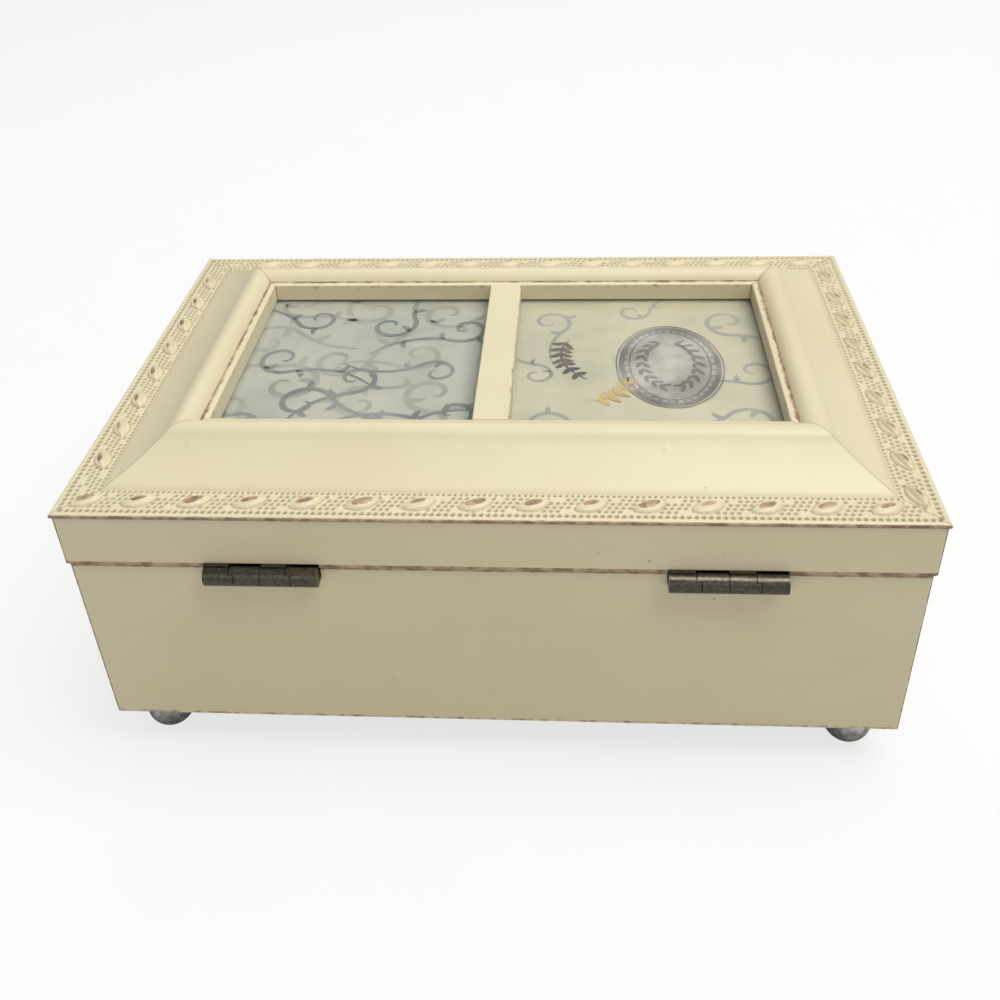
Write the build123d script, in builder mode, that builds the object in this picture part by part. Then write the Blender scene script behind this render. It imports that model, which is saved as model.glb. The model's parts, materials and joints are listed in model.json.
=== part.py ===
# A keepsake music box: painted case and picture-frame lid, stop hinges, ball feet, wind-up movement.
# Millimetres, +Z up. The front is towards -Y and the hinges are at +Y.
# The origin is on the floor, below the middle of the outline.
import os
from math import cos, pi, radians, sin, sqrt

from build123d import *

os.makedirs("parts", exist_ok=True)

# Driving dimensions of the outside
rim_width = 203.0
rim_depth = 130.0
foot_height = 13.0
case_wall_height = 52.1
seam_gap = 0.3
lid_side_height = 13.9
case_inset = 1.0
lid_inset = 0.4

# Woodwork
wall_thickness = 7.0
rebate_depth = 3.0
panel_recess = 6.0
panel_thickness = 3.0
lid_side_thickness = 8.0
divider_x = 33.0
divider_thickness = 4.0
lining_thickness = 1.2
block_side = 17.0

# Lid moulding, across its width from the rim and up from the rim's top
rim_bead = 1.4
band_width = 9.4
cove_end = 21.5
cove_rise = 7.0
crest_at = 25.0
crest_rise = 8.6
lip_start = 28.4
lip_end = 30.4
lip_rise = 6.0
glass_drop = 4.9
glass_rebate = 4.4
mullion_width = 9.0
mullion_x = 1.2

# Sheet pieces in the lid
glass_thickness = 2.0
card_thickness = 0.5
board_thickness = 3.0
lid_lining_thickness = 1.0

# Hinges
hinge_length = 27.0
hinge_x = (-54.4, 53.8)
knuckle_radius = 2.5
hinge_pin_radius = 1.0
running_gap = 0.05
press_gap = 0.03
leaf_thickness = 0.9
knuckle_gap = 0.15
stop_tab = 1.2

# Heights worked out from the driving dimensions
case_top = foot_height + case_wall_height
lid_bottom = case_top + seam_gap
moulding_bottom = lid_bottom + lid_side_height
rim_top = moulding_bottom + rim_bead
panel_bottom = foot_height + panel_recess
panel_top = panel_bottom + panel_thickness
glass_top = rim_top + lip_rise - glass_drop
glass_bottom = glass_top - glass_thickness
card_bottom = glass_bottom - card_thickness
board_bottom = moulding_bottom - board_thickness
lid_ceiling = board_bottom - lid_lining_thickness

case_width = rim_width - 2 * case_inset
case_depth = rim_depth - 2 * case_inset
lid_width = rim_width - 2 * lid_inset
lid_depth = rim_depth - 2 * lid_inset
room_width = case_width - 2 * wall_thickness
room_depth = case_depth - 2 * wall_thickness

hinge_y = case_depth / 2 + 1.6
hinge_z = lid_bottom - 2.0

# The box is drawn about the middle of its rim. The hinge barrels reach past the rim, so each piece
# is moved forward by half of that reach, and the origin is then below the middle of the outline.
outline_shift = (hinge_y + knuckle_radius - rim_depth / 2) / 2


def finish_piece(piece, name):
    """Places a finished piece, labels it and writes its file."""
    placed = piece.part.moved(Location((0, -outline_shift, 0)))
    placed.label = name
    export_step(placed, f"parts/{name}.step")


def mitred_points(side, width, depth, thickness):
    """Plan outline of one wall of a mitred frame."""
    outer = {
        "front": ((-1, -1), (1, -1)),
        "back": ((1, 1), (-1, 1)),
        "left": ((-1, 1), (-1, -1)),
        "right": ((1, -1), (1, 1)),
    }[side]
    first, second = outer
    inner_width = width / 2 - thickness
    inner_depth = depth / 2 - thickness
    return [
        (first[0] * width / 2, first[1] * depth / 2),
        (second[0] * width / 2, second[1] * depth / 2),
        (second[0] * inner_width, second[1] * inner_depth),
        (first[0] * inner_width, first[1] * inner_depth),
    ]


def add_mitred(side, width, depth, thickness, bottom, height):
    """Adds one mitred length to the piece that is being made."""
    with BuildSketch(Plane.XY.offset(bottom)) as plan:
        Polygon(*mitred_points(side, width, depth, thickness), align=None)
    extrude(plan.sketch, amount=height)


def add_block(low, high, mode=Mode.ADD):
    """Adds or cuts a block between two corners."""
    size = [high[i] - low[i] for i in range(3)]
    with BuildSketch(Plane(origin=(low[0], low[1], low[2]))) as base:
        Rectangle(size[0], size[1], align=(Align.MIN, Align.MIN))
    extrude(base.sketch, amount=size[2], mode=mode)


def add_rod(start, direction, radius, length, mode=Mode.ADD):
    """Adds or cuts a round rod from its start, along a direction."""
    with BuildSketch(Plane(origin=start, z_dir=direction)) as end:
        Circle(radius)
    extrude(end.sketch, amount=length, mode=mode)


def plane_across(x, y, z):
    """A plane square to X, its x along Y and its y along Z."""
    return Plane(origin=(x, y, z), x_dir=(0, 1, 0), z_dir=(1, 0, 0))


def plane_upright(x, y):
    """An upright plane that faces the front, its x along X and its y up from the floor."""
    return Plane(origin=(x, y, 0), x_dir=(1, 0, 0), z_dir=(0, -1, 0))


# Hinge mortises: a flat pocket for a leaf and a round hollow for the barrel
leaf_back = hinge_y - knuckle_radius - 0.6
leaf_depth = 4.6
leaf_front = leaf_back - leaf_depth
mortise_end_gap = 0.25
barrel_hollow = knuckle_radius + 0.3
leaf_screw_offset = 8.0
leaf_screw_y = (leaf_front + leaf_back) / 2
leaf_screw_radius = 0.8
screw_hole_gap = 0.06


def cut_mortise(centre_x, low_z, high_z):
    half = hinge_length / 2 + mortise_end_gap
    add_block((centre_x - half, leaf_front, low_z), (centre_x + half, case_depth, high_z), Mode.SUBTRACT)
    add_rod((centre_x - half, hinge_y, hinge_z), (1, 0, 0), barrel_hollow, 2 * half, Mode.SUBTRACT)


def cut_leaf_screw_holes(centre_x, start_z, length):
    for offset in (-leaf_screw_offset, leaf_screw_offset):
        hole_start = (centre_x + offset, leaf_screw_y, start_z)
        add_rod(hole_start, (0, 0, 1), leaf_screw_radius + screw_hole_gap, length, Mode.SUBTRACT)


# Case walls, mitred at the corners, rebated below for the bottom panel
leaf_screw_length = 7.0
rebated_wall = wall_thickness - rebate_depth
for side in ("front", "back", "left", "right"):
    with BuildPart() as case_wall:
        add_mitred(side, case_width, case_depth, wall_thickness, panel_top, case_top - panel_top)
        add_mitred(side, case_width, case_depth, rebated_wall, foot_height, panel_top - foot_height)
        if side == "back":
            for centre in hinge_x:
                cut_mortise(centre, case_top - leaf_thickness, case_top + 1)
                cut_leaf_screw_holes(centre, case_top - leaf_screw_length - 1, leaf_screw_length + 2)
    finish_piece(case_wall, f"case_{side}")

# Placing of the movement in its bay at the right-hand end
barrel_x = 51.0
barrel_y = 16.0
plate_x = (38.0, 91.0)
plate_y = (-14.0, 46.0)
plate_bottom = panel_top
plate_thickness = 2.5
plate_top = plate_bottom + plate_thickness
movement_screw_places = ((43.0, -9.0), (86.0, -9.0), (64.0, 41.5))
movement_screw_radius = 1.5
arbor_radius = 1.5
arbor_hole = 2.6

# Bottom panel, in the rebate, with holes for the winding arbor and the movement's screws
with BuildPart() as bottom_panel:
    panel_width = case_width - 2 * rebated_wall
    panel_depth = case_depth - 2 * rebated_wall
    with BuildSketch(Plane.XY.offset(panel_bottom)):
        Rectangle(panel_width, panel_depth)
        with Locations((barrel_x, barrel_y)):
            Circle(arbor_hole, mode=Mode.SUBTRACT)
        with Locations(*movement_screw_places):
            Circle(movement_screw_radius + 0.1, mode=Mode.SUBTRACT)
    extrude(amount=panel_thickness)
finish_piece(bottom_panel, "bottom_panel")

# Feet: ball feet with a collar, screwed into corner blocks
foot_ball_radius = 6.35
foot_flat_radius = 2.6
foot_collar_radius = 5.4
foot_collar_height = 1.6
foot_stud_radius = 1.6
foot_stud_length = 5.0
foot_inset = 9.8
foot_x = case_width / 2 - foot_inset
foot_y = case_depth / 2 - foot_inset
block_place = rebated_wall + block_side / 2

with BuildPart() as corner_blocks:
    with BuildSketch(Plane.XY.offset(foot_height)):
        with GridLocations(case_width - 2 * block_place, case_depth - 2 * block_place, 2, 2):
            Rectangle(block_side, block_side)
        with GridLocations(2 * foot_x, 2 * foot_y, 2, 2):
            Circle(foot_stud_radius + 0.1, mode=Mode.SUBTRACT)
    extrude(amount=panel_recess)
finish_piece(corner_blocks, "corner_blocks")

foot_ball_centre = sqrt(foot_ball_radius**2 - foot_flat_radius**2)
foot_neck_z = foot_height - foot_collar_height
foot_neck_radius = sqrt(foot_ball_radius**2 - (foot_neck_z - foot_ball_centre) ** 2)
for row, y_sign in (("front", -1), ("back", 1)):
    for column, x_sign in (("left", -1), ("right", 1)):
        with BuildPart() as foot:
            with BuildSketch(plane_upright(x_sign * foot_x, y_sign * foot_y)):
                with BuildLine():
                    Line((0, 0), (foot_flat_radius, 0))
                    ThreePointArc(
                        (foot_flat_radius, 0),
                        (foot_ball_radius, foot_ball_centre),
                        (foot_neck_radius, foot_neck_z),
                    )
                    Polyline(
                        (foot_neck_radius, foot_neck_z),
                        (foot_collar_radius, foot_neck_z),
                        (foot_collar_radius, foot_height),
                        (foot_stud_radius, foot_height),
                        (foot_stud_radius, foot_height + foot_stud_length),
                        (0, foot_height + foot_stud_length),
                        (0, 0),
                    )
                make_face()
            revolve(axis=Axis((x_sign * foot_x, y_sign * foot_y, 0), (0, 0, 1)))
        finish_piece(foot, f"foot_{row}_{column}")

# Divider between the keepsake room and the movement's bay
divider_top = case_top - 6.0
with BuildPart() as divider:
    add_block(
        (divider_x, -room_depth / 2, panel_top),
        (divider_x + divider_thickness, room_depth / 2, divider_top),
    )
finish_piece(divider, "divider")

# Velvet linings of the keepsake room: floor first, then the four sides that stand on it
room_left = -room_width / 2
floor_top = panel_top + lining_thickness
with BuildPart() as lining_floor:
    add_block((room_left, -room_depth / 2, panel_top), (divider_x, room_depth / 2, floor_top))
finish_piece(lining_floor, "lining_floor")

lining_top = case_top - 6.0
lining_boxes = {
    "front": ((room_left, -room_depth / 2), (divider_x, -room_depth / 2 + lining_thickness)),
    "back": ((room_left, room_depth / 2 - lining_thickness), (divider_x, room_depth / 2)),
    "left": (
        (room_left, -room_depth / 2 + lining_thickness),
        (room_left + lining_thickness, room_depth / 2 - lining_thickness),
    ),
    "divider": (
        (divider_x - lining_thickness, -room_depth / 2 + lining_thickness),
        (divider_x, room_depth / 2 - lining_thickness),
    ),
}
for side, (low, high) in lining_boxes.items():
    with BuildPart() as lining:
        add_block((*low, floor_top), (*high, lining_top))
    finish_piece(lining, f"lining_{side}")

# Clear cover over the movement, on two cleats
cleat_size = 5.0
cover_bottom = 55.0
cover_thickness = 2.0
bay_left = divider_x + divider_thickness
bay_right = room_width / 2
for side, y_sign in (("front", -1), ("back", 1)):
    inner_y = y_sign * (room_depth / 2 - cleat_size)
    outer_y = y_sign * room_depth / 2
    with BuildPart() as cleat:
        add_block(
            (bay_left, min(inner_y, outer_y), cover_bottom - cleat_size),
            (bay_right, max(inner_y, outer_y), cover_bottom),
        )
    finish_piece(cleat, f"cleat_{side}")

stop_rod_radius = 0.9
governor_x = 85.2
stop_rod_hole = 1.7

# Movement: heights and axes
drum_radius = 10.0
drum_bottom = plate_top + 1.6
drum_height = 7.0
drum_top = drum_bottom + drum_height
crown_teeth = 28
crown_tooth_height = 1.3
crown_tooth_width = 0.7
crown_outer = 9.9
crown_inner = 8.5
pinion_teeth = 12
pinion_root = 3.3
pinion_tip = 4.5
crown_engagement = 0.8
cylinder_z = drum_top + crown_tooth_height - crown_engagement + pinion_tip
cylinder_y = barrel_y
axle_radius = 1.0
pinion_x = (barrel_x + 8.55, barrel_x + 9.85)
lug_left_x = (barrel_x + 10.6, barrel_x + 12.0)
drum_x = (barrel_x + 12.5, barrel_x + 30.5)
cylinder_radius = 6.5
cylinder_pin_height = 0.6
cylinder_pin_radius = 0.22
gear_x = (barrel_x + 31.2, barrel_x + 32.6)
lug_right_x = (barrel_x + 37.4, barrel_x + 38.9)
gear_teeth = 30
gear_pitch_radius = 7.2
gear_root = 6.5
gear_tip = 7.55
small_pinion_teeth = 10
small_pitch_radius = gear_pitch_radius * small_pinion_teeth / gear_teeth
small_root = 1.7
small_tip = small_pitch_radius + 0.3
second_y = cylinder_y + gear_pitch_radius + small_pitch_radius
second_arbor_radius = 0.7
wheel_teeth = 24
wheel_pitch_radius = 5.1
wheel_root = 4.5
wheel_tip = 5.35
wheel_x = (governor_x - 0.6, governor_x + 0.6)
worm_distance = 6.5
worm_y = second_y + worm_distance
worm_pitch = 2 * pi * wheel_pitch_radius / wheel_teeth
worm_core = 1.0
worm_crest = 1.75
worm_shaft_radius = 0.6
fan_radius = 4.8
fan_bottom = cylinder_z + wheel_tip + 1.6
fan_height = 4.6
shaft_top = fan_bottom + fan_height + 0.6
stop_rod_y = worm_y + 6.2
frame_plate_y = (stop_rod_y + 1.6, stop_rod_y + 2.8)
frame_arm_thickness = 1.2
lower_arm_z = plate_top + 3.2
upper_arm_z = fan_bottom - 1.7

with BuildPart() as movement_cover:
    with BuildSketch(Plane.XY.offset(cover_bottom)):
        with Locations(((bay_left + bay_right) / 2, 0)):
            Rectangle(bay_right - bay_left, room_depth)
        with Locations((governor_x, stop_rod_y)):
            Circle(stop_rod_hole, mode=Mode.SUBTRACT)
    extrude(amount=cover_thickness)
finish_piece(movement_cover, "movement_cover")

# Lid sides, mitred, under the moulding
for side in ("front", "back", "left", "right"):
    with BuildPart() as lid_side:
        add_mitred(side, lid_width, lid_depth, lid_side_thickness, lid_bottom, lid_side_height)
        if side == "back":
            for centre in hinge_x:
                cut_mortise(centre, lid_bottom - 1, lid_bottom + leaf_thickness)
                cut_leaf_screw_holes(centre, lid_bottom - 1, leaf_screw_length + 2)
    finish_piece(lid_side, f"lid_{side}")


def moulding_section(plane):
    """The moulding's outline: x runs in from the rim and y runs up from the rim's top."""
    bead_half = rim_bead / 2
    rebate_at = lip_end - glass_rebate
    window_floor = glass_top - rim_top
    with BuildSketch(plane) as section:
        with BuildLine():
            Line((bead_half, -rim_bead), (rebate_at, -rim_bead))
            Polyline(
                (rebate_at, -rim_bead),
                (rebate_at, window_floor),
                (lip_end, window_floor),
                (lip_end, lip_rise),
            )
            Line((lip_end, lip_rise), (lip_start, lip_rise))
            ThreePointArc((lip_start, lip_rise), (crest_at + 1.9, crest_rise - 0.75), (crest_at, crest_rise))
            ThreePointArc((crest_at, crest_rise), (crest_at - 1.9, crest_rise - 0.4), (cove_end, cove_rise))
            ThreePointArc((cove_end, cove_rise), ((band_width + cove_end) / 2, 3.1), (band_width, 0.25))
            Polyline((band_width, 0.25), (band_width, 0), (bead_half, 0))
            ThreePointArc((bead_half, 0), (0, -bead_half), (bead_half, -rim_bead))
        make_face()
    return section.sketch


# Moulding, four mitred lengths of one section
moulding_runs = {
    "front": ((0, -rim_depth / 2), (0, 1)),
    "back": ((0, rim_depth / 2), (0, -1)),
    "left": ((-rim_width / 2, 0), (1, 0)),
    "right": ((rim_width / 2, 0), (-1, 0)),
}
mitre_depth = rim_depth / 2
for side, (start, inward) in moulding_runs.items():
    with BuildPart() as moulding:
        section_plane = Plane(origin=(*start, rim_top), x_dir=(*inward, 0), z_dir=(inward[1], -inward[0], 0))
        extrude(moulding_section(section_plane), amount=rim_width / 2, both=True)
        with BuildSketch(Plane.XY.offset(rim_top - 10)):
            Polygon(*mitred_points(side, rim_width, rim_depth, mitre_depth - 0.01), align=None)
        extrude(amount=30, mode=Mode.INTERSECT)
    finish_piece(moulding, f"moulding_{side}")

# Mullion between the two windows, with softened arrises
window_depth = rim_depth - 2 * lip_end
with BuildPart() as mullion:
    with BuildSketch(plane_upright(mullion_x, -window_depth / 2)):
        with Locations((0, glass_top)):
            Rectangle(mullion_width, glass_drop, align=(Align.CENTER, Align.MIN))
    extrude(amount=-window_depth)
    fillet(mullion.edges().filter_by(Axis.Y).group_by(Axis.Z)[-1], 0.4)
finish_piece(mullion, "mullion")

# Glass, two picture cards, backing board and its lining
glass_play = 0.4
glass_width = rim_width - 2 * (lip_end - glass_rebate) - glass_play
glass_depth = rim_depth - 2 * (lip_end - glass_rebate) - glass_play
with BuildPart() as glass:
    add_block(
        (-glass_width / 2, -glass_depth / 2, glass_bottom),
        (glass_width / 2, glass_depth / 2, glass_top),
    )
finish_piece(glass, "glass")

card_gap = 0.15
for side, x_low, x_high in (
    ("left", -glass_width / 2, mullion_x - card_gap),
    ("right", mullion_x + card_gap, glass_width / 2),
):
    with BuildPart() as picture_card:
        add_block((x_low, -glass_depth / 2, card_bottom), (x_high, glass_depth / 2, glass_bottom))
    finish_piece(picture_card, f"picture_card_{side}")

board_width = lid_width - 2 * lid_side_thickness
board_depth = lid_depth - 2 * lid_side_thickness
with BuildPart() as backing_board:
    add_block(
        (-board_width / 2, -board_depth / 2, board_bottom),
        (board_width / 2, board_depth / 2, moulding_bottom),
    )
finish_piece(backing_board, "backing_board")

with BuildPart() as lid_lining:
    add_block(
        (-board_width / 2, -board_depth / 2, lid_ceiling),
        (board_width / 2, board_depth / 2, board_bottom),
    )
finish_piece(lid_lining, "lid_lining")


# Stop hinges: knuckles one and three from the +X end belong to the lid, two and four to the case.
# Between one and two, and three and four, each knuckle has a half-round tab beside the other's.
knuckle_pitch = hinge_length / 4
tab_split = 45.0
tab_play = 2.0
lid_tab_sweep = 150.0
case_tab_sweep = 105.0


def add_sector(x_start, length, first_angle, sweep, radius):
    """A pie-shaped length of the barrel; angles run from +Y towards +Z."""
    first = radians(first_angle)
    middle = radians(first_angle + sweep / 2)
    last = radians(first_angle + sweep)
    with BuildSketch(plane_across(x_start, hinge_y, hinge_z)) as slice_face:
        with BuildLine():
            Line((0, 0), (radius * cos(first), radius * sin(first)))
            ThreePointArc(
                (radius * cos(first), radius * sin(first)),
                (radius * cos(middle), radius * sin(middle)),
                (radius * cos(last), radius * sin(last)),
            )
            Line((radius * cos(last), radius * sin(last)), (0, 0))
        make_face()
    extrude(slice_face.sketch, amount=length)


for hinge_name, centre in (("left", hinge_x[0]), ("right", hinge_x[1])):
    high_end = centre + hinge_length / 2
    bore_start = (centre - hinge_length, hinge_y, hinge_z)
    with BuildPart() as lid_leaf:
        add_block(
            (centre - hinge_length / 2, leaf_front, lid_bottom),
            (centre + hinge_length / 2, leaf_back, lid_bottom + leaf_thickness),
        )
        for number in (0, 2):
            top_x = high_end - number * knuckle_pitch - (knuckle_gap if number else 0)
            low_x = high_end - (number + 1) * knuckle_pitch + stop_tab / 2 + knuckle_gap / 2
            add_rod((low_x, hinge_y, hinge_z), (1, 0, 0), knuckle_radius, top_x - low_x)
            add_block((low_x, leaf_back - 0.5, lid_bottom), (top_x, hinge_y, lid_bottom + leaf_thickness))
            tab_start = tab_split - tab_play - lid_tab_sweep
            add_sector(low_x - stop_tab, stop_tab, tab_start, lid_tab_sweep, knuckle_radius)
        add_rod(bore_start, (1, 0, 0), hinge_pin_radius + running_gap, 2 * hinge_length, Mode.SUBTRACT)
        cut_leaf_screw_holes(centre, lid_bottom - 1, leaf_thickness + 2)
    finish_piece(lid_leaf, f"hinge_{hinge_name}_lid_leaf")

    with BuildPart() as case_leaf:
        add_block(
            (centre - hinge_length / 2, leaf_front, case_top - leaf_thickness),
            (centre + hinge_length / 2, leaf_back, case_top),
        )
        for number in (1, 3):
            top_x = high_end - number * knuckle_pitch - stop_tab / 2 - knuckle_gap / 2
            low_x = high_end - (number + 1) * knuckle_pitch
            add_rod((low_x, hinge_y, hinge_z), (1, 0, 0), knuckle_radius, top_x - low_x)
            add_block((low_x, leaf_back - 0.5, case_top - leaf_thickness), (top_x, hinge_y, case_top))
            add_sector(top_x, stop_tab, tab_split, case_tab_sweep, knuckle_radius)
        add_rod(bore_start, (1, 0, 0), hinge_pin_radius + running_gap, 2 * hinge_length, Mode.SUBTRACT)
        cut_leaf_screw_holes(centre, case_top - leaf_thickness - 1, leaf_thickness + 2)
    finish_piece(case_leaf, f"hinge_{hinge_name}_case_leaf")

    with BuildPart() as hinge_pin:
        add_rod((centre - hinge_length / 2, hinge_y, hinge_z), (1, 0, 0), hinge_pin_radius, hinge_length)
    finish_piece(hinge_pin, f"hinge_{hinge_name}_pin")

# Small screws through the leaves, flush with them
for body_name, start_z, reach in (
    ("case", case_top, -leaf_screw_length),
    ("lid", lid_bottom, leaf_screw_length),
):
    with BuildPart() as leaf_screws:
        with BuildSketch(Plane.XY.offset(start_z)):
            for centre in hinge_x:
                with Locations(
                    (centre - leaf_screw_offset, leaf_screw_y),
                    (centre + leaf_screw_offset, leaf_screw_y),
                ):
                    Circle(leaf_screw_radius)
        extrude(amount=reach)
    finish_piece(leaf_screws, f"hinge_screws_{body_name}")

# Movement bedplate: a plate, a comb seat, and lugs that carry the axles
comb_thickness = 1.0
comb_top = cylinder_z + comb_thickness / 2
comb_bottom = comb_top - comb_thickness
comb_tip_y = cylinder_y - cylinder_radius - cylinder_pin_height - 0.12
comb_teeth = 18
comb_tooth_length = 12.0
comb_seat_y = (comb_tip_y - comb_tooth_length - 8.0, comb_tip_y - comb_tooth_length)
comb_screw_radius = 1.2
comb_x = drum_x
comb_middle = (comb_x[0] + comb_x[1]) / 2
comb_screw_spacing = 7.0
lug_top = cylinder_z + 2.2
inner_lug_x = (gear_x[0] - 2.4, gear_x[0] - 1.2)
inner_lug_y = cylinder_y + cylinder_radius + cylinder_pin_height + 0.5


def cut_bearing(start_x, y, z, radius):
    add_rod((start_x, y, z), (1, 0, 0), radius + running_gap, 4.0, Mode.SUBTRACT)


with BuildPart() as bedplate:
    add_block((plate_x[0], plate_y[0], plate_bottom), (plate_x[1], plate_y[1], plate_top))
    fillet(bedplate.edges().filter_by(Axis.Z), 3.0)
    add_block((comb_x[0], comb_seat_y[0], plate_top - 0.5), (comb_x[1], comb_seat_y[1], comb_bottom))
    add_block((lug_left_x[0], cylinder_y - 3, plate_top - 0.5), (lug_left_x[1], cylinder_y + 3, lug_top))
    add_block((lug_right_x[0], cylinder_y - 3, plate_top - 0.5), (lug_right_x[1], second_y + 2.6, lug_top))
    add_block((inner_lug_x[0], inner_lug_y, plate_top - 0.5), (inner_lug_x[1], second_y + 2.2, lug_top))
    cut_bearing(lug_left_x[0] - 1, cylinder_y, cylinder_z, axle_radius)
    cut_bearing(lug_right_x[0] - 1, cylinder_y, cylinder_z, axle_radius)
    cut_bearing(lug_right_x[0] - 1, second_y, cylinder_z, second_arbor_radius)
    cut_bearing(inner_lug_x[0] - 1, second_y, cylinder_z, second_arbor_radius)
    add_rod((barrel_x, barrel_y, 0), (0, 0, 1), arbor_radius + running_gap, plate_top + 1, Mode.SUBTRACT)
    for place in movement_screw_places:
        add_rod((*place, 0), (0, 0, 1), movement_screw_radius + 0.1, plate_top + 1, Mode.SUBTRACT)
    for offset in (-comb_screw_spacing, 0, comb_screw_spacing):
        screw_foot = (comb_middle + offset, sum(comb_seat_y) / 2, comb_bottom - 4.5)
        add_rod(screw_foot, (0, 0, 1), comb_screw_radius + screw_hole_gap, 10, Mode.SUBTRACT)
finish_piece(bedplate, "bedplate")

# Movement screws, from below through the bottom panel
screw_head_radius = 3.0
screw_head_height = 1.4
screw_slot = (4.2, 0.8)
with BuildPart() as movement_screws:
    with BuildSketch(Plane.XY.offset(panel_bottom - screw_head_height)):
        with Locations(*movement_screw_places):
            Circle(screw_head_radius)
    extrude(amount=screw_head_height)
    with BuildSketch(Plane.XY.offset(panel_bottom)):
        with Locations(*movement_screw_places):
            Circle(movement_screw_radius)
    extrude(amount=plate_top - panel_bottom)
    with BuildSketch(Plane.XY.offset(panel_bottom - screw_head_height)):
        with Locations(*movement_screw_places):
            Rectangle(screw_slot[0], screw_slot[1])
            Rectangle(screw_slot[1], screw_slot[0])
    extrude(amount=screw_slot[1], mode=Mode.SUBTRACT)
finish_piece(movement_screws, "movement_screws")

# Steel comb: eighteen teeth, cut from one plate
comb_slit = 0.25
comb_pitch = (comb_x[1] - comb_x[0]) / comb_teeth
with BuildPart() as comb:
    add_block((comb_x[0], comb_seat_y[0], comb_bottom), (comb_x[1], comb_tip_y, comb_top))
    with BuildSketch(Plane.XY.offset(comb_bottom)):
        for number in range(1, comb_teeth):
            with Locations((comb_x[0] + number * comb_pitch, comb_tip_y - comb_tooth_length / 2 + 0.5)):
                Rectangle(comb_slit, comb_tooth_length + 1)
    extrude(amount=comb_thickness, mode=Mode.SUBTRACT)
    for offset in (-comb_screw_spacing, 0, comb_screw_spacing):
        screw_foot = (comb_middle + offset, sum(comb_seat_y) / 2, comb_bottom - 1)
        add_rod(screw_foot, (0, 0, 1), comb_screw_radius + screw_hole_gap, 4, Mode.SUBTRACT)
finish_piece(comb, "comb")

comb_screw_reach = 4.0
comb_head_radius = 2.1
comb_head_height = 1.3
comb_head_slot = 0.6
with BuildPart() as comb_screws:
    for offset in (-comb_screw_spacing, 0, comb_screw_spacing):
        screw_x = comb_middle + offset
        screw_y = sum(comb_seat_y) / 2
        shank_length = comb_screw_reach + comb_thickness + 0.1
        shank_foot = (screw_x, screw_y, comb_bottom - comb_screw_reach)
        add_rod(shank_foot, (0, 0, 1), comb_screw_radius, shank_length)
        add_rod((screw_x, screw_y, comb_top), (0, 0, 1), comb_head_radius, comb_head_height)
        add_block(
            (screw_x - comb_head_radius, screw_y - comb_head_slot / 2, comb_top + comb_head_height / 2),
            (screw_x + comb_head_radius, screw_y + comb_head_slot / 2, comb_top + comb_head_height),
            Mode.SUBTRACT,
        )
finish_piece(comb_screws, "comb_screws")


def add_toothed_wheel(plane, teeth, root, tip, root_width, tip_width, first_angle, thickness, bore):
    """A wheel with plain tapered teeth."""
    with BuildSketch(plane) as outline:
        Circle(root)
        with PolarLocations(root, teeth, start_angle=first_angle):
            Polygon(
                (-0.3, -root_width / 2),
                (tip - root, -tip_width / 2),
                (tip - root, tip_width / 2),
                (-0.3, root_width / 2),
                align=None,
            )
        if bore:
            Circle(bore, mode=Mode.SUBTRACT)
    extrude(outline.sketch, amount=thickness)


# Spring barrel: a drum with a crown of teeth, turning freely on the winding arbor
drum_wall = 1.2
drum_hub_radius = 2.6
with BuildPart() as spring_barrel:
    add_rod((barrel_x, barrel_y, drum_bottom), (0, 0, 1), drum_radius, drum_height)
    with BuildSketch(Plane.XY.offset(drum_bottom + drum_wall)):
        with Locations((barrel_x, barrel_y)):
            Circle(drum_radius - drum_wall)
            Circle(drum_hub_radius, mode=Mode.SUBTRACT)
    extrude(amount=drum_height - 2 * drum_wall, mode=Mode.SUBTRACT)
    with BuildSketch(Plane.XY.offset(drum_top)):
        with Locations((barrel_x, barrel_y)):
            with PolarLocations((crown_outer + crown_inner) / 2, crown_teeth, start_angle=180 / crown_teeth):
                Rectangle(crown_outer - crown_inner, crown_tooth_width)
    extrude(amount=crown_tooth_height, taper=5)
    add_rod((barrel_x, barrel_y, 0), (0, 0, 1), arbor_radius + running_gap, drum_top + 5, Mode.SUBTRACT)
finish_piece(spring_barrel, "spring_barrel")

# Mainspring: a flat strip wound in half turns about two centres
spring_strip = 0.35
spring_turns = 5
spring_start = drum_hub_radius + 0.4
spring_pitch = (drum_radius - drum_wall - 0.5 - spring_start) / spring_turns
with BuildPart() as mainspring:
    with BuildSketch(Plane(origin=(barrel_x, barrel_y, drum_bottom + drum_wall + 0.3))):
        for half in range(2 * spring_turns - 1):
            spring_radius = spring_start + half * spring_pitch / 2
            side_shift = 0 if half % 2 == 0 else -spring_pitch / 2
            first = 0 if half % 2 == 0 else 180
            with BuildLine():
                outer_arc = CenterArc((side_shift, 0), spring_radius + spring_strip, first, 180)
                inner_arc = CenterArc((side_shift, 0), spring_radius, first, 180)
                Line(outer_arc @ 0, inner_arc @ 0)
                Line(outer_arc @ 1, inner_arc @ 1)
            make_face()
    extrude(amount=drum_height - 2 * drum_wall - 0.6)
finish_piece(mainspring, "mainspring")

# Clutch ring that holds the arbor while the spring is wound
with BuildPart() as arbor_clutch:
    with BuildSketch(Plane.XY.offset(plate_top)):
        with Locations((barrel_x, barrel_y)):
            Circle(3.4)
            Circle(arbor_radius + running_gap, mode=Mode.SUBTRACT)
    extrude(amount=drum_bottom - plate_top - 0.3)
finish_piece(arbor_clutch, "arbor_clutch")

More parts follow.
